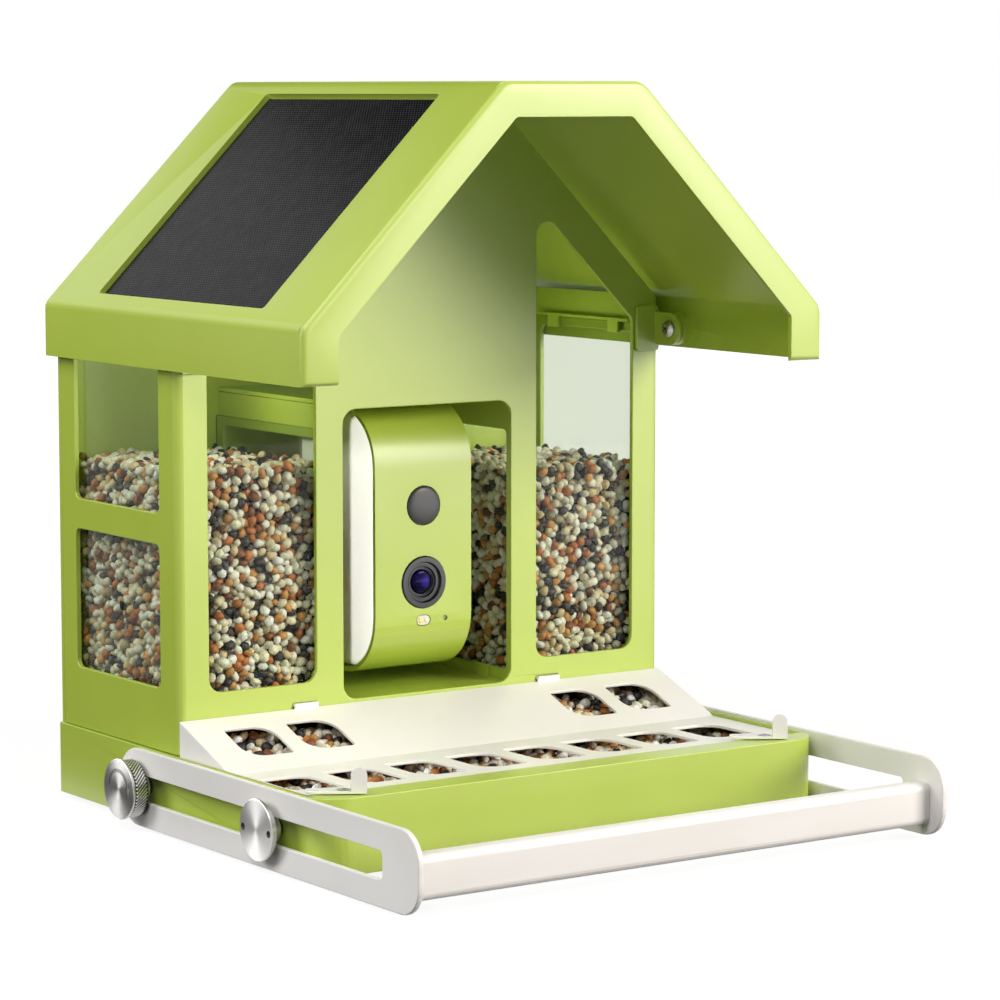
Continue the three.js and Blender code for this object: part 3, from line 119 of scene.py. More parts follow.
def noise(tree, place, grain, detail, roughness=0.5):
    # The grain is given in millimetres
    return addNode(tree, "ShaderNodeTexNoise", {
        "Vector": place, "Scale": 1 / (grain * mm), "Detail": detail, "Roughness": roughness,
    }).outputs["Fac"]


def bumped(tree, pattern, strength, height):
    # The height is given in millimetres
    return addNode(tree, "ShaderNodeBump", {
        "Height": pattern, "Strength": strength, "Distance": height * mm,
    }).outputs["Normal"]


def rayIs(tree, *kinds):
    # One for a ray of any of these kinds, and nought for the others
    ray = addNode(tree, "ShaderNodeLightPath")
    share = ray.outputs[f"Is {kinds[0]} Ray"]
    for kind in kinds[1:]:
        share = maths(tree, "MAXIMUM", share, ray.outputs[f"Is {kind} Ray"])
    return share


def fromAxis(tree, place, axis, centre):
    # How far a point of the surface lies from the axis through this centre
    move = addNode(tree, "ShaderNodeMapping", {"Vector": place, "Location": tuple(-c * mm for c in centre)})
    across = {"X": (0, 1, 1), "Y": (1, 0, 1)}[axis]
    flat = addNode(tree, "ShaderNodeVectorMath", {0: move.outputs[0], 1: across}, operation="MULTIPLY")
    return lengthOf(tree, flat.outputs[0])


# Materials

# Powder coat on sheet: satin, with the faint orange peel of baked powder and a soft mottle
powder = {
    "roughness": 0.42, "spread": 0.03, "peel": 1.3, "peelStrength": 0.35,
    "mottleFrom": 0.35, "mottleTo": 0.65,
}
greenPowder = {
    **powder, "name": "powder_coat_green", "colour": "#B4C948", "shade": "#B0C543",
    "peelHeight": 0.015, "mottle": 60.0, "coat": 0.8, "coatRoughness": 0.34,
}
whitePowder = {
    **powder, "name": "powder_coat_white", "colour": "#F4F1ED", "shade": "#F1EEE9",
    "peelHeight": 0.018, "mottle": 45.0, "coat": 0.2, "coatRoughness": 0.25,
}


def powderCoat(look):
    material, tree, place = startMaterial(look["name"])
    mottle = ranged(tree, noise(tree, place, look["mottle"], 2.0), look["mottleFrom"], look["mottleTo"])
    # The real peel is about 0.5 mm across, too fine to show here, so it is drawn coarser
    peel = noise(tree, place, look["peel"], 1.0)
    rough = look["roughness"]
    return closeMaterial(material, principled(tree, {
        "Base Color": mixColours(tree, mottle, linear(look["colour"]), linear(look["shade"])),
        "Roughness": ranged(tree, peel, 0.0, 1.0, rough - look["spread"], rough + look["spread"]),
        "Normal": bumped(tree, peel, look["peelStrength"], look["peelHeight"]),
        "Coat Weight": look["coat"], "Coat Roughness": look["coatRoughness"],
    }))


greenPaint = powderCoat(greenPowder)
whitePaint = powderCoat(whitePowder)

# Polycarbonate pane: coated against glare, with a grey-green body that deepens towards a slanting view,
# and a few soft scuffs in its gloss
paneLook = {
    "clear": "#F8FAF5", "deep": "#98A67E", "roughness": 0.006, "ior": 1.58, "glare": "#4A4A4A",
    "scuffs": 6.0, "scuffFrom": 0.5, "scuffTo": 0.8, "scuffed": 3,
}


def clearPane(look):
    material, tree, place = startMaterial("polycarbonate_clear")
    scuffs = noise(tree, place, look["scuffs"], 6.0, 0.7)
    slant = addNode(tree, "ShaderNodeLayerWeight", {"Blend": 0.5})
    rough, scuffed = look["roughness"], look["roughness"] * look["scuffed"]
    glass = principled(tree, {
        "Base Color": mixColours(tree, slant.outputs["Facing"], linear(look["clear"]), linear(look["deep"])),
        "Roughness": ranged(tree, scuffs, look["scuffFrom"], look["scuffTo"], rough, scuffed),
        "IOR": look["ior"], "Transmission Weight": 1.0, "Specular Tint": linear(look["glare"]),
    })
    # Lamps shine through the pane on the seed behind it
    clear = addNode(tree, "ShaderNodeBsdfTransparent", {"Color": linear(look["clear"])}).outputs["BSDF"]
    mix = addNode(tree, "ShaderNodeMixShader", {0: rayIs(tree, "Shadow", "Diffuse"), 1: glass, 2: clear})
    return closeMaterial(material, mix.outputs["Shader"])


panePlastic = clearPane(paneLook)

# Stainless steel turned on a lathe: its rings spread each highlight into a fan across the face
steelLook = {
    "colour": "#C4C2BF", "shade": "#AFADAA", "metallic": 1.0, "roughness": 0.32, "smear": 1.2,
    "ring": 0.5, "ringStrength": 0.5, "ringHeight": 0.006, "fan": 0.6, "fanTurn": 0.25,
}
# The cut arrow is drawn in dull dark steel, and the drilled holes are painted dull and dark as painted shade
# down in them
cutAndShadedSteelLook = {**steelLook, "colour": "#5E5C5A", "shade": "#4B4A49", "metallic": 0.2, "roughness": 0.57}


def turnedSteel(name, axis, centre, look):
    material, tree, place = startMaterial(name)
    # Tool marks are really 0.1 mm apart and are drawn 0.5 mm apart so that they show
    rings = maths(tree, "MULTIPLY", fromAxis(tree, place, axis, centre), 2 * math.pi / (look["ring"] * mm))
    share = maths(tree, "MULTIPLY", maths(tree, "SINE", rings), noise(tree, place, look["smear"], 3.0))
    return closeMaterial(material, principled(tree, {
        "Base Color": mixColours(tree, share, linear(look["colour"]), linear(look["shade"])),
        "Normal": bumped(tree, share, look["ringStrength"], look["ringHeight"]),
        "Tangent": addNode(tree, "ShaderNodeTangent", direction_type="RADIAL", axis=axis).outputs[0],
        "Metallic": look["metallic"], "Roughness": look["roughness"],
        "Anisotropic": look["fan"], "Anisotropic Rotation": look["fanTurn"],
    }))


# Knurled steel: bright on the points of the diamonds, with shade painted dark down in the grooves
knurlLook = {
    "groove": "#2C2B2A", "point": "#DAD9D6", "grooveShare": 0.75, "pointShare": 0.35, "roughness": 0.3,
}


def knurledSteel(name, centre, radius, depth, look):
    material, tree, place = startMaterial(name)
    share = ranged(tree, fromAxis(tree, place, "X", centre),
                   (radius - depth * look["grooveShare"]) * mm, (radius - depth * look["pointShare"]) * mm)
    # Painted shade: the colour darkens from the points of the knurl down into its grooves
    return closeMaterial(material, principled(tree, {
        "Base Color": mixColours(tree, share, linear(look["groove"]), linear(look["point"])),
        "Metallic": 1.0, "Roughness": look["roughness"],
    }))


# Plain parts: moulded plastic, rubber, board and wraps, each with a fine moulded grain
def moulded(name, colour, shade, roughness, grain, grainHeight, coat=0.0, **extra):
    material, tree, place = startMaterial(name)
    pattern = noise(tree, place, grain, 3.0)
    inputs = {
        "Base Color": mixColours(tree, pattern, linear(colour), linear(shade)),
        "Normal": bumped(tree, pattern, 0.4, grainHeight),
        "Roughness": roughness, "Coat Weight": coat, "Coat Roughness": 0.08,
    }
    inputs.update({key.replace("_", " "): value for key, value in extra.items()})
    return closeMaterial(material, principled(tree, inputs))


# Frosted polycarbonate: milky and soft, light goes a little way in
shellPlastic = moulded("polycarbonate_frosted", "#F4F2ED", "#EFEDE7", 0.45, 0.9, 0.01,
                       Subsurface_Weight=0.3, Subsurface_Scale=0.004, Subsurface_Radius=(1.0, 0.9, 0.8))
blackPlastic = moulded("ABS_black_satin", "#1C1C1E", "#232325", 0.38, 0.7, 0.01)
glossBlack = moulded("ABS_black_gloss", "#0C0C0E", "#111113", 0.25, 1.2, 0.004, coat=0.2)
# The motion sensor's window is thin black polyethylene, waxy and a little see-through
sensorPlastic = moulded("polyethylene_black", "#3B3A3B", "#343334", 0.34, 1.5, 0.006,
                        Subsurface_Weight=0.15, Subsurface_Scale=0.001)
rubberBlack = moulded("rubber_black", "#2A2A2A", "#333333", 0.8, 0.8, 0.03)
boardMask = moulded("circuit_board_green", "#1C5A33", "#235F3A", 0.35, 1.6, 0.01)
cellWrap = moulded("PVC_wrap_blue", "#2A66A8", "#2F6DB0", 0.35, 2.0, 0.01)
plainSteel = moulded("steel_zinc_plated", "#B9B8B4", "#A8A7A3", 0.32, 0.6, 0.006, Metallic=1.0)

# Solar laminate: black film pressed with fine dimples; the light they catch is painted into the colour as
# rows of grey dashes, in patches
laminateLook = {
    "colour": "#0D0D0E", "crest": "#48484A", "roughness": 0.18, "ior": 1.15, "patches": 7,
    "slope": 45, "pitch": 2.3, "row": 1.35, "height": 0.05, "strength": 0.6, "dimpleFlat": 0.12,
}


def solarLaminate(look):
    material, tree, place = startMaterial("solar_laminate_black")
    # Turned level with the left slope, so that the rows run along the eave
    level = (0, math.radians(look["slope"]), 0)
    turn = addNode(tree, "ShaderNodeMapping", {"Vector": place, "Rotation": level})
    axes = addNode(tree, "ShaderNodeSeparateXYZ", {0: turn.outputs[0]}).outputs
    down = maths(tree, "MULTIPLY", axes["X"], 1 / (look["row"] * mm))
    along = maths(tree, "MULTIPLY", axes["Y"], 1 / (look["pitch"] * mm))
    # Each row is shifted by half a pitch against the row before it
    shifted = maths(tree, "ADD", along, maths(tree, "MULTIPLY", maths(tree, "FLOOR", down), 0.5))
    fromMiddle = [maths(tree, "SUBTRACT", maths(tree, "FRACT", socket), 0.5) for socket in (shifted, down)]
    spot = addNode(tree, "ShaderNodeCombineXYZ", dict(enumerate(fromMiddle)))
    dimple = ranged(tree, lengthOf(tree, spot.outputs[0]), look["dimpleFlat"], 0.5, 1.0, 0.0,
                    interpolation_type="SMOOTHSTEP")
    # Painted highlights: the dimples are coloured grey, in patches
    crest = maths(tree, "MULTIPLY", dimple, noise(tree, place, look["patches"], 2.0))
    return closeMaterial(material, principled(tree, {
        "Base Color": mixColours(tree, crest, linear(look["colour"]), linear(look["crest"])),
        "Normal": bumped(tree, dimple, look["strength"], look["height"]),
        "Roughness": look["roughness"], "IOR": look["ior"],
    }))


laminate = solarLaminate(laminateLook)

# Seed husks: each seed has its own colour, darker at its ends, with fine ridges along it
huskLook = {
    "shade": "#3A2E22", "shadeShare": 0.8, "tip": 0.45, "tipFrom": 0.3, "ridges": 9.0, "ridgeFrom": 0.42,
    "ridgeTo": 0.68, "ridgeShare": 0.5, "ridgeStrength": 0.4, "ridgeHeight": 0.12, "roughness": 0.55,
}


def seedHusk(look):
    material, tree, _ = startMaterial("seed_husks")
    # Each seed's own colour, and the painted shade of the dark heap inside
    own = addNode(tree, "ShaderNodeAttribute", attribute_name="huskColourAndShade").outputs["Color"]
    spot = addNode(tree, "ShaderNodeAttribute", attribute_name="huskPlace").outputs["Vector"]
    end = maths(tree, "ABSOLUTE", addNode(tree, "ShaderNodeSeparateXYZ", {0: spot}).outputs["Z"])
    pattern = addNode(tree, "ShaderNodeTexNoise", {"Vector": spot, "Scale": look["ridges"], "Detail": 2.0})
    ridge = pattern.outputs["Fac"]
    tips = ranged(tree, end, look["tipFrom"], 0.5, 0.0, look["tip"])
    grooves = ranged(tree, ridge, look["ridgeFrom"], look["ridgeTo"], 0.0, look["ridgeShare"])
    brown = mixColours(tree, look["shadeShare"], linear(look["shade"]), own, blend_type="MULTIPLY")
    return closeMaterial(material, principled(tree, {
        "Base Color": mixColours(tree, maths(tree, "MAXIMUM", tips, grooves), own, brown),
        "Normal": bumped(tree, ridge, look["ridgeStrength"], look["ridgeHeight"]),
        "Roughness": look["roughness"],
    }))


huskMaterial = seedHusk(huskLook)

# Coated lens glass: black until it mirrors a lamp, and then violet from its anti-glare coat; a violet glow
# is also painted into its colour, a little aside of the middle
lensLook = {
    "deep": "#050409", "glow": "#4A3CC8", "glare": "#6A55D8", "aside": 2.2, "reach": 4.2, "cloud": 1.6,
    "roughness": 0.05, "ior": 1.5,
}


def coatedGlass(look, centre):
    material, tree, place = startMaterial("lens_glass_coated")
    # Painted glow: violet colour fading out from a spot beside the lens's middle, clouded by noise
    move = addNode(tree, "ShaderNodeMapping", {
        "Vector": place, "Location": tuple(-c / look["reach"] for c in centre),
        "Scale": (1 / (look["reach"] * mm),) * 3,
    })
    paintedGlowFall = addNode(tree, "ShaderNodeTexGradient", {"Vector": move.outputs[0]}, gradient_type="SPHERICAL")
    share = maths(tree, "MULTIPLY", paintedGlowFall.outputs["Fac"], noise(tree, place, look["cloud"], 1.0))
    return closeMaterial(material, principled(tree, {
        "Base Color": mixColours(tree, share, linear(look["deep"]), linear(look["glow"])),
        "Roughness": look["roughness"], "IOR": look["ior"], "Specular Tint": linear(look["glare"]),
    }))


print("materials made")


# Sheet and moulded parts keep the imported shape, with their edges broken as on the real thing

def deselectAll():
    if bpy.context.object and bpy.context.object.mode != "OBJECT":
        bpy.ops.object.mode_set(mode="OBJECT")
    bpy.ops.object.select_all(action="DESELECT")


def pickOnly(obj):
    deselectAll()
    obj.select_set(True)
    bpy.context.view_layer.objects.active = obj


def edit(obj, action="SELECT"):
    pickOnly(obj)
    bpy.ops.object.mode_set(mode="EDIT")
    bpy.ops.mesh.select_all(action=action)


def leaveEdit():
    bpy.ops.object.mode_set(mode="OBJECT")


def placed(name, data):
    obj = bpy.data.objects.new(name, data)
    bpy.context.scene.collection.objects.link(obj)
    return obj


def smoothed(obj, angle):
    pickOnly(obj)
    bpy.ops.object.shade_smooth_by_angle(angle=math.radians(angle))


# In millimetres, points nearer than "merged" become one. In degrees, faces within "flat" become one, edges
# over "sharp" are broken, and shading is smooth up to "smooth"
edges = {"merged": 0.02, "flat": 0.6, "sharp": 30, "smooth": 32, "flatWeight": 100}


def edgeBreak(obj, width, segments, clamped):
    pickOnly(obj)
    bevel = obj.modifiers.new("edge", "BEVEL")
    bevel.width = width * mm
    bevel.segments = segments
    bevel.limit_method = "ANGLE"
    bevel.angle_limit = math.radians(edges["sharp"])
    bevel.use_clamp_overlap = clamped
    bevel.harden_normals = clamped
    bevel.miter_outer = "MITER_ARC"
    bpy.ops.object.modifier_apply(modifier=bevel.name)
    if not clamped:
        # The flats outweigh the broken edges, so that they still shade as flat
        weighted = obj.modifiers.new("flats", "WEIGHTED_NORMAL")
        weighted.mode = "FACE_AREA"
        weighted.weight = edges["flatWeight"]
        weighted.keep_sharp = True
        bpy.ops.object.modifier_apply(modifier=weighted.name)


def finishPiece(obj, body, slot, *materials):
    obj.data.materials.clear()
    for material in materials:
        obj.data.materials.append(material)
    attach(obj, body)


# A flat sheet keeps its triangles, because one face round all its ports would be cut up wrongly. Rounded
# shapes are dissolved to whole faces first
def broken(node, material, width=0.35, segments=2, dissolved=False):
    piece = placed(node + "_finished", nodes[node].data.copy())
    edit(piece)
    bpy.ops.mesh.remove_doubles(threshold=edges["merged"] * mm)
    if dissolved:
        bpy.ops.mesh.dissolve_limited(angle_limit=math.radians(edges["flat"]))
    leaveEdit()
    smoothed(piece, edges["smooth"])
    edgeBreak(piece, width, segments, dissolved)
    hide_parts(node)
    finishPiece(piece, bodyOf[node], slotOf[node], material)


sheetParts = {
    "roof_shell": 0.5, "house_front_wrap": 0.4, "base_pan": 0.45, "back_panel": 0.35,
    "bay_divider_left": 0.25, "bay_divider_right": 0.25, "bay_floor": 0.2,
    "pane_strip_left": 0.2, "pane_strip_right": 0.2,
    "hinge_bracket_left": 0.3, "hinge_bracket_right": 0.3, "camera_cover": 0.5,
}
for node, width in sheetParts.items():
    broken(node, greenPaint, width, dissolved=node in ("roof_shell", "camera_cover"))
whiteParts = {
    "feeding_cover": 0.3, "perch_bar": 0.4, "perch_arm_left": 0.5, "perch_arm_right": 0.5,
    "tray_latch_left": 0.2, "tray_latch_right": 0.2,
}
for node, width in whiteParts.items():
    broken(node, whitePaint, width)
for node in ("front_pane_left", "front_pane_right", "side_pane_left", "side_pane_right",
             "divider_pane_left", "divider_pane_right"):
    broken(node, panePlastic, 0.15, 1)
broken("camera_body", shellPlastic, 0.4, dissolved=True)
broken("solar_panel", laminate, 0.25)
broken("solar_junction_box", blackPlastic, 0.8, 3, dissolved=True)
broken("rubber_foot_left", rubberBlack, 0.4)
broken("rubber_foot_right", rubberBlack, 0.4)
carriedOver = {
    "bay_ceiling": greenPaint, "hopper_ramp": greenPaint, "camera_back": shellPlastic,
    "main_board": boardMask, "battery_pack": cellWrap, "speaker": blackPlastic, "camera_mount": blackPlastic,
}
for node, material in carriedOver.items():
    nodes[node].data.materials.clear()
    nodes[node].data.materials.append(material)
print("sheet parts finished")


# Round pieces are drawn out from a disc: each step moves the end face along the axis and resizes it. A face
# that is drawn in to a point keeps this radius until its corners are merged
pointRadius = 0.001


def drawnOut(name, axis, centre, steps, sides=96):
    deselectAll()
    middle = Vector(centre) * mm
    reach, radius = steps[0]
    bpy.ops.mesh.primitive_circle_add(
        vertices=sides, radius=radius * mm, fill_type="NGON", location=middle + axis * reach * mm,
        rotation=axis.to_track_quat("Z", "Y").to_euler())
    piece = bpy.context.object
    piece.name = name
    bpy.ops.object.transform_apply(location=True, rotation=True, scale=True)
    edit(piece)
    for nextReach, nextRadius in steps[1:]:
        bpy.ops.mesh.extrude_region_move(
            TRANSFORM_OT_translate={"value": axis * (nextReach - reach) * mm})
        share = max(nextRadius, pointRadius) / radius
        # The face keeps its size along the axis
        scale = [share + (1 - share) * abs(a) for a in axis]
        bpy.ops.transform.resize(value=scale, center_override=middle + axis * nextReach * mm)
        reach, radius = nextReach, max(nextRadius, pointRadius)
    if steps[-1][1] == 0:
        bpy.ops.mesh.merge(type="CENTER")
    bpy.ops.mesh.select_all(action="SELECT")
    bpy.ops.mesh.normals_make_consistent(inside=False)
    leaveEdit()
    return piece


def block(centre, size, turn=Quaternion()):
    bpy.ops.mesh.primitive_cube_add(size=1, location=Vector(centre) * mm, rotation=turn.to_euler())
    tool = bpy.context.object
    tool.scale = Vector(size) * mm
    bpy.ops.object.transform_apply(location=True, rotation=True, scale=True)
    return tool


def cutWith(piece, *tools):
    for tool in tools:
        pickOnly(piece)
        hollow = piece.modifiers.new("cut", "BOOLEAN")
        hollow.operation = "DIFFERENCE"
        hollow.solver = "EXACT"
        hollow.object = tool
        bpy.ops.object.modifier_apply(modifier=hollow.name)
        bpy.data.objects.remove(tool)


def joined(pieces, name):
    deselectAll()
    for piece in pieces:
        piece.select_set(True)
    bpy.context.view_layer.objects.active = pieces[0]
    bpy.ops.object.join()
    result = bpy.context.object
    result.name = name
    return result


# Height of the screws that hold the perch's arms
perchAxis = sum(corner.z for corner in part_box("clamp_knob_left")) / 2 / mm
# A face that lies this much below another one, in millimetres, is the floor or wall of something cut in it
sunk = 0.02

# Clamp knobs, knurled, with an arrow cut in the face; the arrow's tail, neck and head are half widths
knob = {
    "start": 153.9, "end": 161.0, "radius": 14.2, "knurlDepth": 0.75, "teeth": 96, "rows": 7,
    "neck": 12.5, "face": 161.6, "faceEnd": 163.0, "faceRadius": 14.9,
    "arrowRadius": 9.3, "arrowTail": 0.75, "arrowNeck": 1.05, "arrowHead": 2.6, "arrowDepth": 0.3,
    "arrowOut": 0.5, "arrowFrom": 172, "arrowTo": 12, "arrowTip": -24, "arrowSteps": 36,
    "axisBack": 28.5, "axisHeight": perchAxis,
}


def arrowCutter(side, look):
    # Drawn as seen from outside the knob, clockwise: right of the view is towards the front on the left knob
    middle = Vector((side * look["faceEnd"], panelFace + look["axisBack"], look["axisHeight"])) * mm
    radius, depths = look["arrowRadius"], (-look["arrowOut"], look["arrowDepth"])

    def spot(angle, out, depth):
        a = math.radians(angle)
        return middle + Vector((-side * depth, side * out * math.cos(a), out * math.sin(a))) * mm

    count = look["arrowSteps"]
    corners, faces = [], []
    for i in range(count + 1):
        part = i / count
        angle = look["arrowFrom"] + (look["arrowTo"] - look["arrowFrom"]) * part
        half = look["arrowTail"] + (look["arrowNeck"] - look["arrowTail"]) * part
        corners += [spot(angle, out, depth) for depth in depths for out in (radius - half, radius + half)]
    for a in range(0, 4 * count, 4):
        b = a + 4
        faces += [(a, b, b + 1, a + 1), (a + 2, a + 3, b + 3, b + 2), (a, a + 2, b + 2, b)]
        faces += [(a + 1, b + 1, b + 3, a + 3)]
    faces += [(0, 1, 3, 2), (4 * count, 4 * count + 2, 4 * count + 3, 4 * count + 1)]
    bar = bpy.data.meshes.new("arrow_bar")
    bar.from_pydata(corners, [], faces)
    head = bpy.data.meshes.new("arrow_head")
    tips = [(look["arrowTo"], radius - look["arrowHead"]), (look["arrowTo"], radius + look["arrowHead"]),
            (look["arrowTip"], radius)]
    head.from_pydata([spot(angle, out, depth) for depth in depths for angle, out in tips], [],
                     [(0, 1, 2), (3, 5, 4), (0, 3, 4, 1), (1, 4, 5, 2), (2, 5, 3, 0)])
    tools = [placed(mesh.name, mesh) for mesh in (bar, head)]
    for tool in tools:
        edit(tool)
        bpy.ops.mesh.normals_make_consistent(inside=False)
        leaveEdit()
    return tools


def clampKnob(name, side, look):
    centre = (0, panelFace + look["axisBack"], look["axisHeight"])
    axis = Vector((side, 0, 0))
    pitch = (look["end"] - look["start"]) / (look["rows"] + 1)
    grip = drawnOut("grip", axis, centre, [
        (look["start"] + i * pitch, look["radius"]) for i in range(look["rows"] + 2)], look["teeth"])
    edit(grip, "DESELECT")
    leaveEdit()
    # Every second point of the grid is pressed in, which leaves the diamonds of the knurl
    for vertex in grip.data.vertices:
        x, y, z = vertex.co / mm - Vector(centre)
        row = round((abs(x) - look["start"]) / pitch)
        tooth = round(math.atan2(z, y) / (2 * math.pi) * look["teeth"])
        vertex.select = (row + tooth) % 2 == 0 or row in (0, look["rows"] + 1)
    bpy.ops.object.mode_set(mode="EDIT")
    share = 1 - look["knurlDepth"] / look["radius"]
    bpy.ops.transform.resize(value=(1, share, share), center_override=Vector(centre) * mm)
    leaveEdit()
    start, end, radius = look["face"], look["faceEnd"], look["faceRadius"]
    face = drawnOut("face", axis, centre, [
        (look["end"] - 0.2, look["neck"]), (start, look["neck"]), (start, radius - 0.25),
        (start + 0.25, radius), (end - 0.3, radius), (end, radius - 0.3),
    ], 128)
    cutWith(face, *arrowCutter(side, look))
    grip.data.materials.clear()
    grip.data.materials.append(knurledSteel(
        f"stainless_knurled_{name}", centre, look["radius"], look["knurlDepth"], knurlLook))
    face.data.materials.clear()
    face.data.materials.append(turnedSteel(f"stainless_turned_{name}", "X", centre, steelLook))
    face.data.materials.append(turnedSteel(f"stainless_engraved_{name}", "X", centre, cutAndShadedSteelLook))
    for polygon in face.data.polygons:
        spot = polygon.center / mm - Vector(centre)
        inArrow = math.hypot(spot.y, spot.z) < look["arrowRadius"] + look["arrowHead"]
        below = end - abs(spot.x)
        polygon.material_index = int(inArrow and sunk < below < look["arrowDepth"] + sunk)
    smoothed(face, 30)
    whole = joined([face, grip], name + "_finished")
    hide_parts(name)
    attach(whole, bodyOf[name])


# Guide screws: a stepped head with two holes for a pin spanner
guide = {
    "axisFront": 94, "axisHeight": perchAxis, "neck": 6.5, "neckStart": 148.8, "ring": 155.1,
    "ringRadius": 13.6, "head": 156.9, "headRadius": 14.6, "end": 158.5,
    "holeRadius": 1.7, "holeOut": 11.4, "holeDepth": 1.4,
}


def guideScrew(name, side, look):
    centre = (0, panelFace - look["axisFront"], look["axisHeight"])
    axis = Vector((side, 0, 0))
    neck, ringAt, ring = look["neck"], look["ring"], look["ringRadius"]
    headAt, head, end = look["head"], look["headRadius"], look["end"]
    body = drawnOut(name + "_finished", axis, centre, [
        (look["neckStart"], neck), (ringAt, neck), (ringAt, ring - 0.3), (ringAt + 0.3, ring),
        (headAt - 0.2, ring), (headAt, ring - 0.4), (headAt, head - 0.2), (headAt + 0.2, head),
        (end - 0.35, head), (end, head - 0.35),
    ], 128)
    for out in (-look["holeOut"], look["holeOut"]):
        cutWith(body, drawnOut("hole", axis, (0, centre[1] + out, centre[2]), [
            (end - look["holeDepth"], look["holeRadius"]), (end + 1, look["holeRadius"]),
        ], 32))
    smoothed(body, 30)
    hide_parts(name)
    finishPiece(body, bodyOf[name], slotOf[name],
                turnedSteel(f"stainless_turned_{name}", "X", centre, steelLook),
                turnedSteel(f"stainless_hole_painted_shade_{name}", "X", centre, cutAndShadedSteelLook))
    # Faces down in the spanner holes take the dark steel of painted shade
    for polygon in body.data.polygons:
        spot = polygon.center / mm - Vector(centre)
        inHole = math.hypot(abs(spot.y) - look["holeOut"], spot.z) < look["holeRadius"] + sunk
        polygon.material_index = int(inHole and end - abs(spot.x) > sunk)


# Studs that carry the knobs, seen as a bright collar between arm and knob
stud = {"inner": 149.0, "outer": 153.85, "radius": 6.5, "chamfer": 0.3}


def clampStud(name, side, look):
    centre = (0, panelFace + knob["axisBack"], knob["axisHeight"])
    collar = drawnOut(name + "_finished", Vector((side, 0, 0)), centre, [
        (look["inner"], look["radius"]), (look["outer"] - look["chamfer"], look["radius"]),
        (look["outer"], look["radius"] - look["chamfer"]),
    ], 64)
    smoothed(collar, 30)
    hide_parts(name)
    finishPiece(collar, bodyOf[name], slotOf[name],
                turnedSteel(f"stainless_turned_{name}", "X", centre, steelLook))


for side, end in ((-1, "left"), (1, "right")):
    clampKnob("clamp_knob_" + end, side, knob)
    guideScrew("guide_screw_" + end, side, guide)
    clampStud("clamp_stud_" + end, side, stud)
print("perch hardware finished")


# Small screws: a head with a cross recess, given as its reach, its width and its depth

def screw(name, axis, centre, steps, cross):
    body = drawnOut(name + "_finished", axis, centre, steps, 64)
    reach, width, depth = cross
    top = Vector(centre) + axis * steps[-1][0]
    turn = axis.to_track_quat("Z", "Y")
    cutWith(body, *[
        block(top, (reach * 2, width, depth * 2), turn @ Quaternion((0, 0, 1), math.radians(angle)))
        for angle in (45, 135)])
    smoothed(body, 30)
    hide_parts(name)
    finishPiece(body, bodyOf[name], slotOf[name], plainSteel)


hingeScrew = {
    "pivotFront": 14, "pivotHeight": 236.4, "head": 140.7, "headHeight": 2.6, "radius": 4.4, "shank": 2.0,
    "tip": 147.9, "cross": (2.0, 0.75, 1.3),
}
for side, end in ((-1, "left"), (1, "right")):
    # Drawn from the shank's tip inwards to the head, which faces the middle of the feeder
    head, radius, shank = hingeScrew["head"], hingeScrew["radius"], hingeScrew["shank"]
    screw("hinge_screw_" + end, Vector((-side, 0, 0)),
          (0, panelFace - hingeScrew["pivotFront"], hingeScrew["pivotHeight"]), [
              (-hingeScrew["tip"], shank), (-head, shank), (-head, radius - 0.15), (-head + 0.15, radius),
              (-head + 1.0, radius - 0.1), (-head + 1.9, radius - 0.75),
              (-head + hingeScrew["headHeight"], radius - 1.9),
          ], hingeScrew["cross"])

rearScrew = {"radius": 3.2, "height": 2.0, "shank": 1.5, "cross": (1.5, 0.6, 0.9)}
for number in range(1, 5):
    low, high = (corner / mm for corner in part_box(f"rear_screw_{number}"))
    spot, radius, under = (low + high) / 2, rearScrew["radius"], high.y - rearScrew["height"]
    screw(f"rear_screw_{number}", Vector((0, 1, 0)), (spot.x, 0, spot.z), [
        (low.y, rearScrew["shank"]), (under, rearScrew["shank"]), (under, radius),
        (high.y - 1.2, radius - 0.05), (high.y - 0.4, radius - 0.6), (high.y, radius - 1.5),
    ], rearScrew["cross"])

latchScrew = {"radius": 3.15, "shank": 1.95, "cross": (1.7, 0.6, 0.8)}
for end in ("left", "right"):
    low, high = (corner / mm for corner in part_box("latch_screw_" + end))
    spot, radius = (low + high) / 2, latchScrew["radius"]
    screw("latch_screw_" + end, Vector((0, 0, 1)), (spot.x, spot.y, 0), [
        (low.z, latchScrew["shank"]), (high.z - 1.0, latchScrew["shank"]), (high.z - 0.1, radius),
        (high.z, radius - 0.1),
    ], latchScrew["cross"])

# A coin turns the camera mount's screw by the slot across its head
mountScrew = {"shank": 3.1, "radius": 8.0, "height": 2.4, "slot": (20, 2.4, 1.6)}
low, high = (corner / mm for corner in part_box("camera_mount_screw"))
spot, radius, under = (low + high) / 2, mountScrew["radius"], high.y - mountScrew["height"]
thumb = drawnOut("camera_mount_screw_finished", Vector((0, 1, 0)), (spot.x, 0, spot.z), [
    (low.y, mountScrew["shank"]), (under, mountScrew["shank"]), (under, radius - 0.3), (under + 0.3, radius),
    (high.y - 0.5, radius), (high.y, radius - 0.5),
])
cutWith(thumb, block((spot.x, high.y, spot.z), mountScrew["slot"]))
smoothed(thumb, 30)
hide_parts("camera_mount_screw")
finishPiece(thumb, bodyOf["camera_mount_screw"], slotOf["camera_mount_screw"],
            turnedSteel("stainless_turned_mount", "Y", (spot.x, 0, spot.z), steelLook))
print("screws finished")


# Camera front: motion sensor window, stepped lens rings, lens and the light window
lens = {
    "sensorHeight": 151.6, "height": 112.6, "lightHeight": 93.1, "setback": 4.5,
    "chipOut": 1.75, "chipRadius": 1.25,
}
towardsFront = Vector((0, -1, 0))
coverFace = panelFace + lens["setback"]

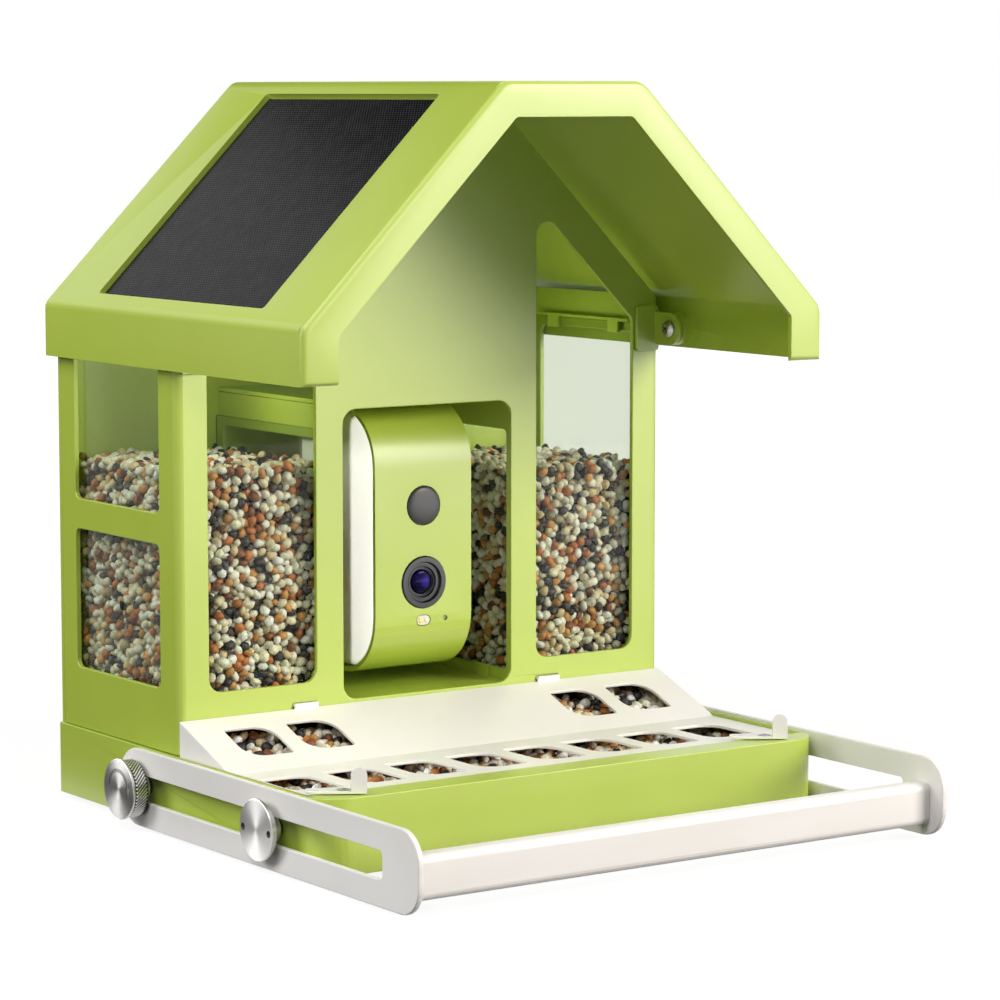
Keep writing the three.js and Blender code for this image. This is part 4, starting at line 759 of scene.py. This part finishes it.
sensor = drawnOut("pir_lens_finished", towardsFront, (0, coverFace, lens["sensorHeight"]), [
    (-7, 9.2), (-7, 9.8), (-0.2, 9.8), (0.25, 9.62), (0.75, 8.9), (1.1, 7.6), (1.32, 6.0), (1.47, 4.2),
    (1.56, 2.2), (1.6, 0),
], 96)
smoothed(sensor, 60)
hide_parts("pir_lens")
finishPiece(sensor, "feeder", slotOf["pir_lens"], sensorPlastic)

lensSpot = (0, coverFace, lens["height"])
rings = drawnOut("lens_bezel_finished", towardsFront, lensSpot, [
    (-8, 12.6), (-8, 13.1), (0.45, 13.1), (0.8, 12.75), (0.8, 10.5), (0.55, 10.25), (-0.75, 9.9),
    (-0.9, 9.7), (-0.9, 8.75), (-0.65, 8.55), (-0.65, 8.0), (-0.9, 7.8), (-1.9, 7.35), (-1.9, 7.0),
    (-2.7, 6.75), (-2.7, 6.45), (-3.6, 6.3),
], 128)
smoothed(rings, 30)
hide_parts("lens_bezel", "lens_barrel")
finishPiece(rings, "feeder", slotOf["lens_bezel"], glossBlack)

glass = drawnOut("lens_glass_finished", towardsFront, lensSpot, [
    (-5.1, 6.2), (-2.7, 6.2), (-2.2, 5.9), (-1.8, 5.2), (-1.5, 4.3), (-1.3, 3.2), (-1.2, 2.0), (-1.15, 0),
], 96)
smoothed(glass, 60)
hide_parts("lens_glass")
finishPiece(glass, "feeder", slotOf["lens_glass"],
            coatedGlass(lensLook, (lensLook["aside"], coverFace, lens["height"])))

# Light window: a clear-white stadium with two light chips, one yellow and one white
windowPlastic = moulded("polycarbonate_diffuser", "#E9E6D8", "#DFDBC8", 0.25, 0.8, 0.01, coat=0.3)
phosphor = moulded("phosphor_yellow", "#F4E24A", "#FFF08A", 0.4, 0.5, 0.02)
whiteChip = moulded("phosphor_white", "#FBF6EE", "#F3E6C9", 0.35, 0.5, 0.02)
broken("led_window", windowPlastic, 0.35, 3, dissolved=True)
for side, material in ((-1, phosphor), (1, whiteChip)):
    chip = drawnOut("led_chip_" + ("left" if side < 0 else "right"), towardsFront,
                    (side * lens["chipOut"], coverFace, lens["lightHeight"]), [
        (-0.6, lens["chipRadius"]), (-0.2, lens["chipRadius"]), (0.0, lens["chipRadius"] - 0.25),
        (0.08, lens["chipRadius"] - 0.7), (0.1, 0),
    ], 32)
    smoothed(chip, 60)
    finishPiece(chip, "feeder", slotOf["led_window"], material)
print("camera front finished")


# Seed: one husk is modelled and copied into the outer layer of each bin's fill and of the tray's. Its ends
# lie 0.5 from its middle, and past "bluntFrom" one end is drawn in to a blunt point. Seeds differ in size
# and brightness by these shares
husk = {
    "sides": 6, "rings": 5, "bluntFrom": 0.2, "blunt": 0.72, "smallest": 0.86, "largest": 1.12,
    "dimmest": 0.9, "brightest": 1.25, "ridgeSpread": 20,
}


def modelHusk(look):
    deselectAll()
    bpy.ops.mesh.primitive_uv_sphere_add(segments=look["sides"], ring_count=look["rings"], radius=0.5)
    model = bpy.context.object
    edit(model, "DESELECT")
    leaveEdit()
    for vertex in model.data.vertices:
        vertex.select = vertex.co.z > look["bluntFrom"]
    bpy.ops.object.mode_set(mode="EDIT")
    bpy.ops.transform.resize(value=(look["blunt"], look["blunt"], 1), center_override=(0, 0, 0))
    bpy.ops.mesh.select_all(action="SELECT")
    bpy.ops.mesh.quads_convert_to_tris()
    leaveEdit()
    points = np.array([v.co for v in model.data.vertices])
    faces = np.array([list(p.vertices) for p in model.data.polygons])
    bpy.data.objects.remove(model)
    return points, faces


huskPoints, huskFaces = modelHusk(husk)
# Husk colours and how many in a hundred have each
mixed = [
    ("#FBF6E8", 30), ("#F0E6CD", 20), ("#E4CC9F", 8), ("#D0954F", 9), ("#B86D2D", 9), ("#7C431D", 5),
    ("#B2A686", 3), ("#33261D", 5), ("#141110", 11),
]
palette = [linear(colour) for colour, count in mixed for _ in range(count)]


def scattered(solid, look, rng, tries):
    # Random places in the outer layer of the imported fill, at least a spacing apart
    corners = [v.co for v in solid.data.vertices]
    tree = BVHTree.FromPolygons(corners, [p.vertices[:] for p in solid.data.polygons])
    low = [min(c[i] for c in corners) for i in range(3)]
    high = [max(c[i] for c in corners) for i in range(3)]
    cells, points = {}, []
    skin, deepest, gap = look["skin"] * mm, (look["skin"] + look["layer"]) * mm, look["spacing"] * mm
    for _ in range(int(tries * (high[0] - low[0]) * (high[1] - low[1]) * (high[2] - low[2]) / mm ** 3)):
        point = Vector([rng.uniform(low[i], high[i]) for i in range(3)])
        if point.z < look["foot"] * mm or point.y > (panelFace + look["back"]) * mm:
            continue
        surface, normal, _, depth = tree.find_nearest(point)
        outside = (point - surface).dot(normal) > 0
        if not skin < depth < deepest or outside or normal.z < look["lowestNormal"]:
            continue
        key = tuple(int(c // gap) for c in point)
        near = (other for i in (-1, 0, 1) for j in (-1, 0, 1) for k in (-1, 0, 1)
                for other in cells.get((key[0] + i, key[1] + j, key[2] + k), ()))
        if all((other - point).length > gap for other in near):
            cells.setdefault(key, []).append(point)
            points.append(point)
    return points


def seedHeap(name, node, look, rng, tries):
    spots = scattered(nodes[node], look, rng, tries)
    count, each = len(spots), len(huskPoints)
    points = np.zeros((count * each, 3))
    colours = np.ones((count * each, 4))
    local = np.zeros((count * each, 3))
    for i, spot in enumerate(spots):
        turn = Quaternion([rng.gauss(0, 1) for _ in range(4)]).normalized()
        grown = np.array(look["size"]) * mm * rng.uniform(husk["smallest"], husk["largest"])
        rows = slice(i * each, (i + 1) * each)
        points[rows] = (huskPoints * grown) @ np.array(turn.to_matrix()).T + np.array(spot)
        tone = np.array(rng.choice(palette)[:3]) * rng.uniform(husk["dimmest"], husk["brightest"])
        colours[rows, :3] = np.minimum(tone, 1)
        # Each seed's ridges come from its own part of the pattern
        spread = husk["ridgeSpread"]
        local[rows] = huskPoints + np.array([rng.uniform(0, spread), rng.uniform(0, spread), 0])
    faces = (huskFaces[None, :, :] + (np.arange(count) * each)[:, None, None]).reshape(-1, 3)
    mesh = bpy.data.meshes.new(name)
    mesh.from_pydata(points.tolist(), [], faces.tolist())
    mesh.attributes.new("huskColourAndShade", "FLOAT_COLOR", "POINT").data.foreach_set("color", colours.ravel())
    mesh.attributes.new("huskPlace", "FLOAT_VECTOR", "POINT").data.foreach_set("vector", local.ravel())
    heap = placed(name, mesh)
    # A dark heap inside is painted shade: it stands for the shaded seeds deeper in and keeps light from
    # showing between the outer seeds
    shadeCore = placed("shadeCore", nodes[node].data.copy())
    edit(shadeCore)
    bpy.ops.mesh.remove_doubles(threshold=edges["merged"] * mm)
    bpy.ops.transform.shrink_fatten(value=-look["shadeCore"] * mm)
    leaveEdit()
    # The inner heap is coloured as painted shade
    paintedShade = shadeCore.data.attributes.new("huskColourAndShade", "FLOAT_COLOR", "POINT")
    paintedShade.data.foreach_set("color", list(linear("#2A2119")) * len(shadeCore.data.vertices))
    whole = joined([heap, shadeCore], name)
    smoothed(whole, 60)
    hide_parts(node)
    finishPiece(whole, "feeder", "seed", huskMaterial)
    print(name, count, "seeds", len(whole.data.polygons), "faces")


# In millimetres: the husk's size, how far the seeds' middles keep apart, how deep their layer starts and how
# thick it is, and how deep the dark heap of painted shade lies. No seed lies below the foot, further back
# from the front panel than "back", or where the fill faces down more than its lowest normal allows
seedBin = {
    "size": (5.25, 4.2, 6.2), "spacing": 3.52, "skin": 1.7, "layer": 4.6, "shadeCore": 4.4,
    "foot": 60.0, "back": 111.0, "lowestNormal": -0.5,
}
seedDish = {
    "size": (5.6, 4.5, 6.8), "spacing": 3.9, "skin": -0.2, "layer": 6.0, "shadeCore": 3.6,
    "foot": 10.0, "back": 20.0, "lowestNormal": 0.5,
}
# Places tried in each cubic millimetre
tries = 0.5
seedHeap("seeds_left", "seed_left", seedBin, random.Random(11), tries)
seedHeap("seeds_right", "seed_right", seedBin, random.Random(12), tries)
seedHeap("seeds_tray", "seed_tray", seedDish, random.Random(23), tries)
print("seed finished")


# Studio: white paper under the feeder, an even surround, soft boxes, a few small lamps and cards
studio = {
    "floorSize": 12, "floorHeight": -0.0003, "floor": "#E8E8E8", "bounce": "#303030", "surround": 0.08,
    "nearGlow": 0.8, "near": 0.5, "far": 1.6, "white": 1.12,
}

bpy.ops.mesh.primitive_plane_add(size=studio["floorSize"], location=(0, 0, studio["floorHeight"]))
floor = bpy.context.object
floor.name = "studio_floor"
material, tree, place = startMaterial("studio_paper_white")
seen = rayIs(tree, "Camera", "Glossy", "Transmission")
# The paper keeps a faint shadow near the feeder and fades to plain white further off
fade = ranged(tree, lengthOf(tree, place), studio["near"], studio["far"], studio["nearGlow"], 1.0)
paper = addNode(tree, "ShaderNodeBsdfDiffuse", {
    "Color": mixColours(tree, seen, linear(studio["bounce"]), linear(studio["floor"]))})
glow = addNode(tree, "ShaderNodeEmission", {"Color": (1, 1, 1, 1), "Strength": studio["white"]})
mix = addNode(tree, "ShaderNodeMixShader", {
    0: maths(tree, "MULTIPLY", fade, seen), 1: paper.outputs[0], 2: glow.outputs[0]})
floor.data.materials.append(closeMaterial(material, mix.outputs[0]))

world = bpy.data.worlds.new("studio")
bpy.context.scene.world = world
world.use_nodes = True
tree = world.node_tree
tree.nodes.clear()
strength = ranged(tree, rayIs(tree, "Camera", "Glossy", "Transmission"), 0.0, 1.0, studio["surround"], 1.0)
sky = addNode(tree, "ShaderNodeBackground", {"Color": (1, 1, 1, 1), "Strength": strength})
addNode(tree, "ShaderNodeOutputWorld", {"Surface": sky.outputs[0]})

# Each soft box stands so many degrees round from the front (right is positive) and up, and so many metres
# off. The strip stands low behind on the left and lights only the steel of the perch's screws
softBoxes = {
    "key": {"round": 36, "up": 19, "far": 2.6, "size": 1.3, "power": 73, "colour": "#FFFAF4"},
    "fill": {"round": -60, "up": 45, "far": 2.4, "size": 1.3, "power": 30, "colour": "#FFFFFF"},
    "side": {"round": -115, "up": 20, "far": 2.2, "size": 1.0, "power": 23, "colour": "#FFFFFF"},
    "steel_strip": {"round": -146, "up": 12, "far": 1.2, "size": 0.8, "power": 30, "colour": "#FFFFFF"},
}
middle = Vector((0, 0, 0.17))


def around(degrees, up, far):
    turn, rise = math.radians(degrees), math.radians(up)
    level = math.cos(rise)
    return middle + far * Vector((math.sin(turn) * level, -math.cos(turn) * level, math.sin(rise)))


def aimedAt(obj, target):
    obj.rotation_euler = (target - obj.location).to_track_quat("-Z", "Y").to_euler()


def lightsOnly(lamp, name, members):
    lit = bpy.data.collections.new(name)
    for member in members:
        lit.objects.link(bpy.data.objects[member])
    lamp.light_linking.receiver_collection = lit


for name, look in softBoxes.items():
    light = bpy.data.lights.new(name, "AREA")
    light.shape = "SQUARE"
    light.size = look["size"]
    light.energy = look["power"]
    light.color = linear(look["colour"])[:3]
    lamp = placed(name, light)
    lamp.location = around(look["round"], look["up"], look["far"])
    aimedAt(lamp, middle)
lightsOnly(bpy.data.objects["steel_strip"], "lit_by_strip", [
    f"{kind}_{end}_finished" for kind in ("clamp_knob", "clamp_stud", "guide_screw")
    for end in ("left", "right")])

# A snoot reaches into the bay, past the front panel's edge, and lights only the camera's milky side
snoot = {
    "round": -40, "up": 9, "far": 2.2, "power": 280, "cone": 8.0, "radius": 0.06, "aim": (-0.03, 0.09, 0.13),
}
light = bpy.data.lights.new("snoot", "SPOT")
light.energy = snoot["power"]
light.spot_size = math.radians(snoot["cone"])
light.spot_blend = 1.0
light.shadow_soft_size = snoot["radius"]
lamp = placed("snoot", light)
lamp.location = around(snoot["round"], snoot["up"], snoot["far"])
aimedAt(lamp, Vector(snoot["aim"]))
lightsOnly(lamp, "lit_by_snoot", ["camera_body_finished"])

# Daylight that finds its way into the two bins above the seed
binLamp = {"out": 0.092, "back": 0.1, "height": 0.218, "power": 0.05, "radius": 0.012}
for side in (-1, 1):
    light = bpy.data.lights.new("bin_light", "POINT")
    light.energy = binLamp["power"]
    light.shadow_soft_size = binLamp["radius"]
    lamp = placed("bin_light", light)
    lamp.location = (side * binLamp["out"], binLamp["back"], binLamp["height"])
    lamp.visible_camera = lamp.visible_glossy = lamp.visible_transmission = False

# Cards that only show as reflections: white ones low in front, and black ones that keep the white room
# out of the left side's gloss, one standing, one on the floor and one high behind the solar panel
cards = {
    "white_card": {"centre": around(35, 6, 1.9), "wide": 2.4, "tall": 1.0, "glow": 1.9},
    "white_card_floor": {"centre": Vector((0.72, -1.05, 0.001)), "wide": 1.1, "tall": 1.1, "glow": 4.2,
                         "turned": ((0.82, 0.567, 0), (-0.567, 0.82, 0))},
    "black_card_left": {"centre": around(-138, 0, 1.5), "wide": 3.0, "tall": 1.1, "glow": 0.0},
    "black_card_floor": {"centre": Vector((-1.02, 0.98, 0.001)), "wide": 1.7, "tall": 1.9, "glow": 0.0,
                         "turned": ((1, 0, 0), (0, 1, 0))},
    "black_card_high": {"centre": Vector((0.143, 1.223, 1.298)), "wide": 1.6, "tall": 0.62, "glow": 0.0,
                        "turned": ((-0.659, -0.404, 0.635), (0.752, -0.337, 0.566))},
}
for name, card in cards.items():
    deselectAll()
    bpy.ops.mesh.primitive_plane_add(size=1, location=card["centre"])
    board = bpy.context.object
    board.name = name
    board.scale = (card["wide"], card["tall"], 1)
    aimedAt(board, middle)
    if "turned" in card:
        along = Vector(card["turned"][0]).normalized()
        normal = along.cross(Vector(card["turned"][1])).normalized()
        board.rotation_euler = Matrix((along, normal.cross(along), normal)).transposed().to_euler()
    board.visible_camera = board.visible_diffuse = board.visible_transmission = board.visible_shadow = False
    material, tree, _ = startMaterial(name)
    glow = addNode(tree, "ShaderNodeEmission", {"Strength": card["glow"]})
    board.data.materials.append(closeMaterial(material, glow.outputs[0]))

# The camera stands where the photograph was taken from
view = {"place": (-0.99634, -1.45142, 0.35868), "down": 6.46, "turn": -34.73, "lens": 129.71, "sensor": 36}
camera = bpy.data.cameras.new("camera")
camera.lens = view["lens"]
camera.sensor_width = view["sensor"]
cameraObject = placed("camera", camera)
cameraObject.location = view["place"]
cameraObject.rotation_euler = Euler((math.radians(90 - view["down"]), 0, math.radians(view["turn"])))
bpy.context.scene.camera = cameraObject
bpy.context.scene.view_settings.view_transform = "Standard"

print("studio ready")
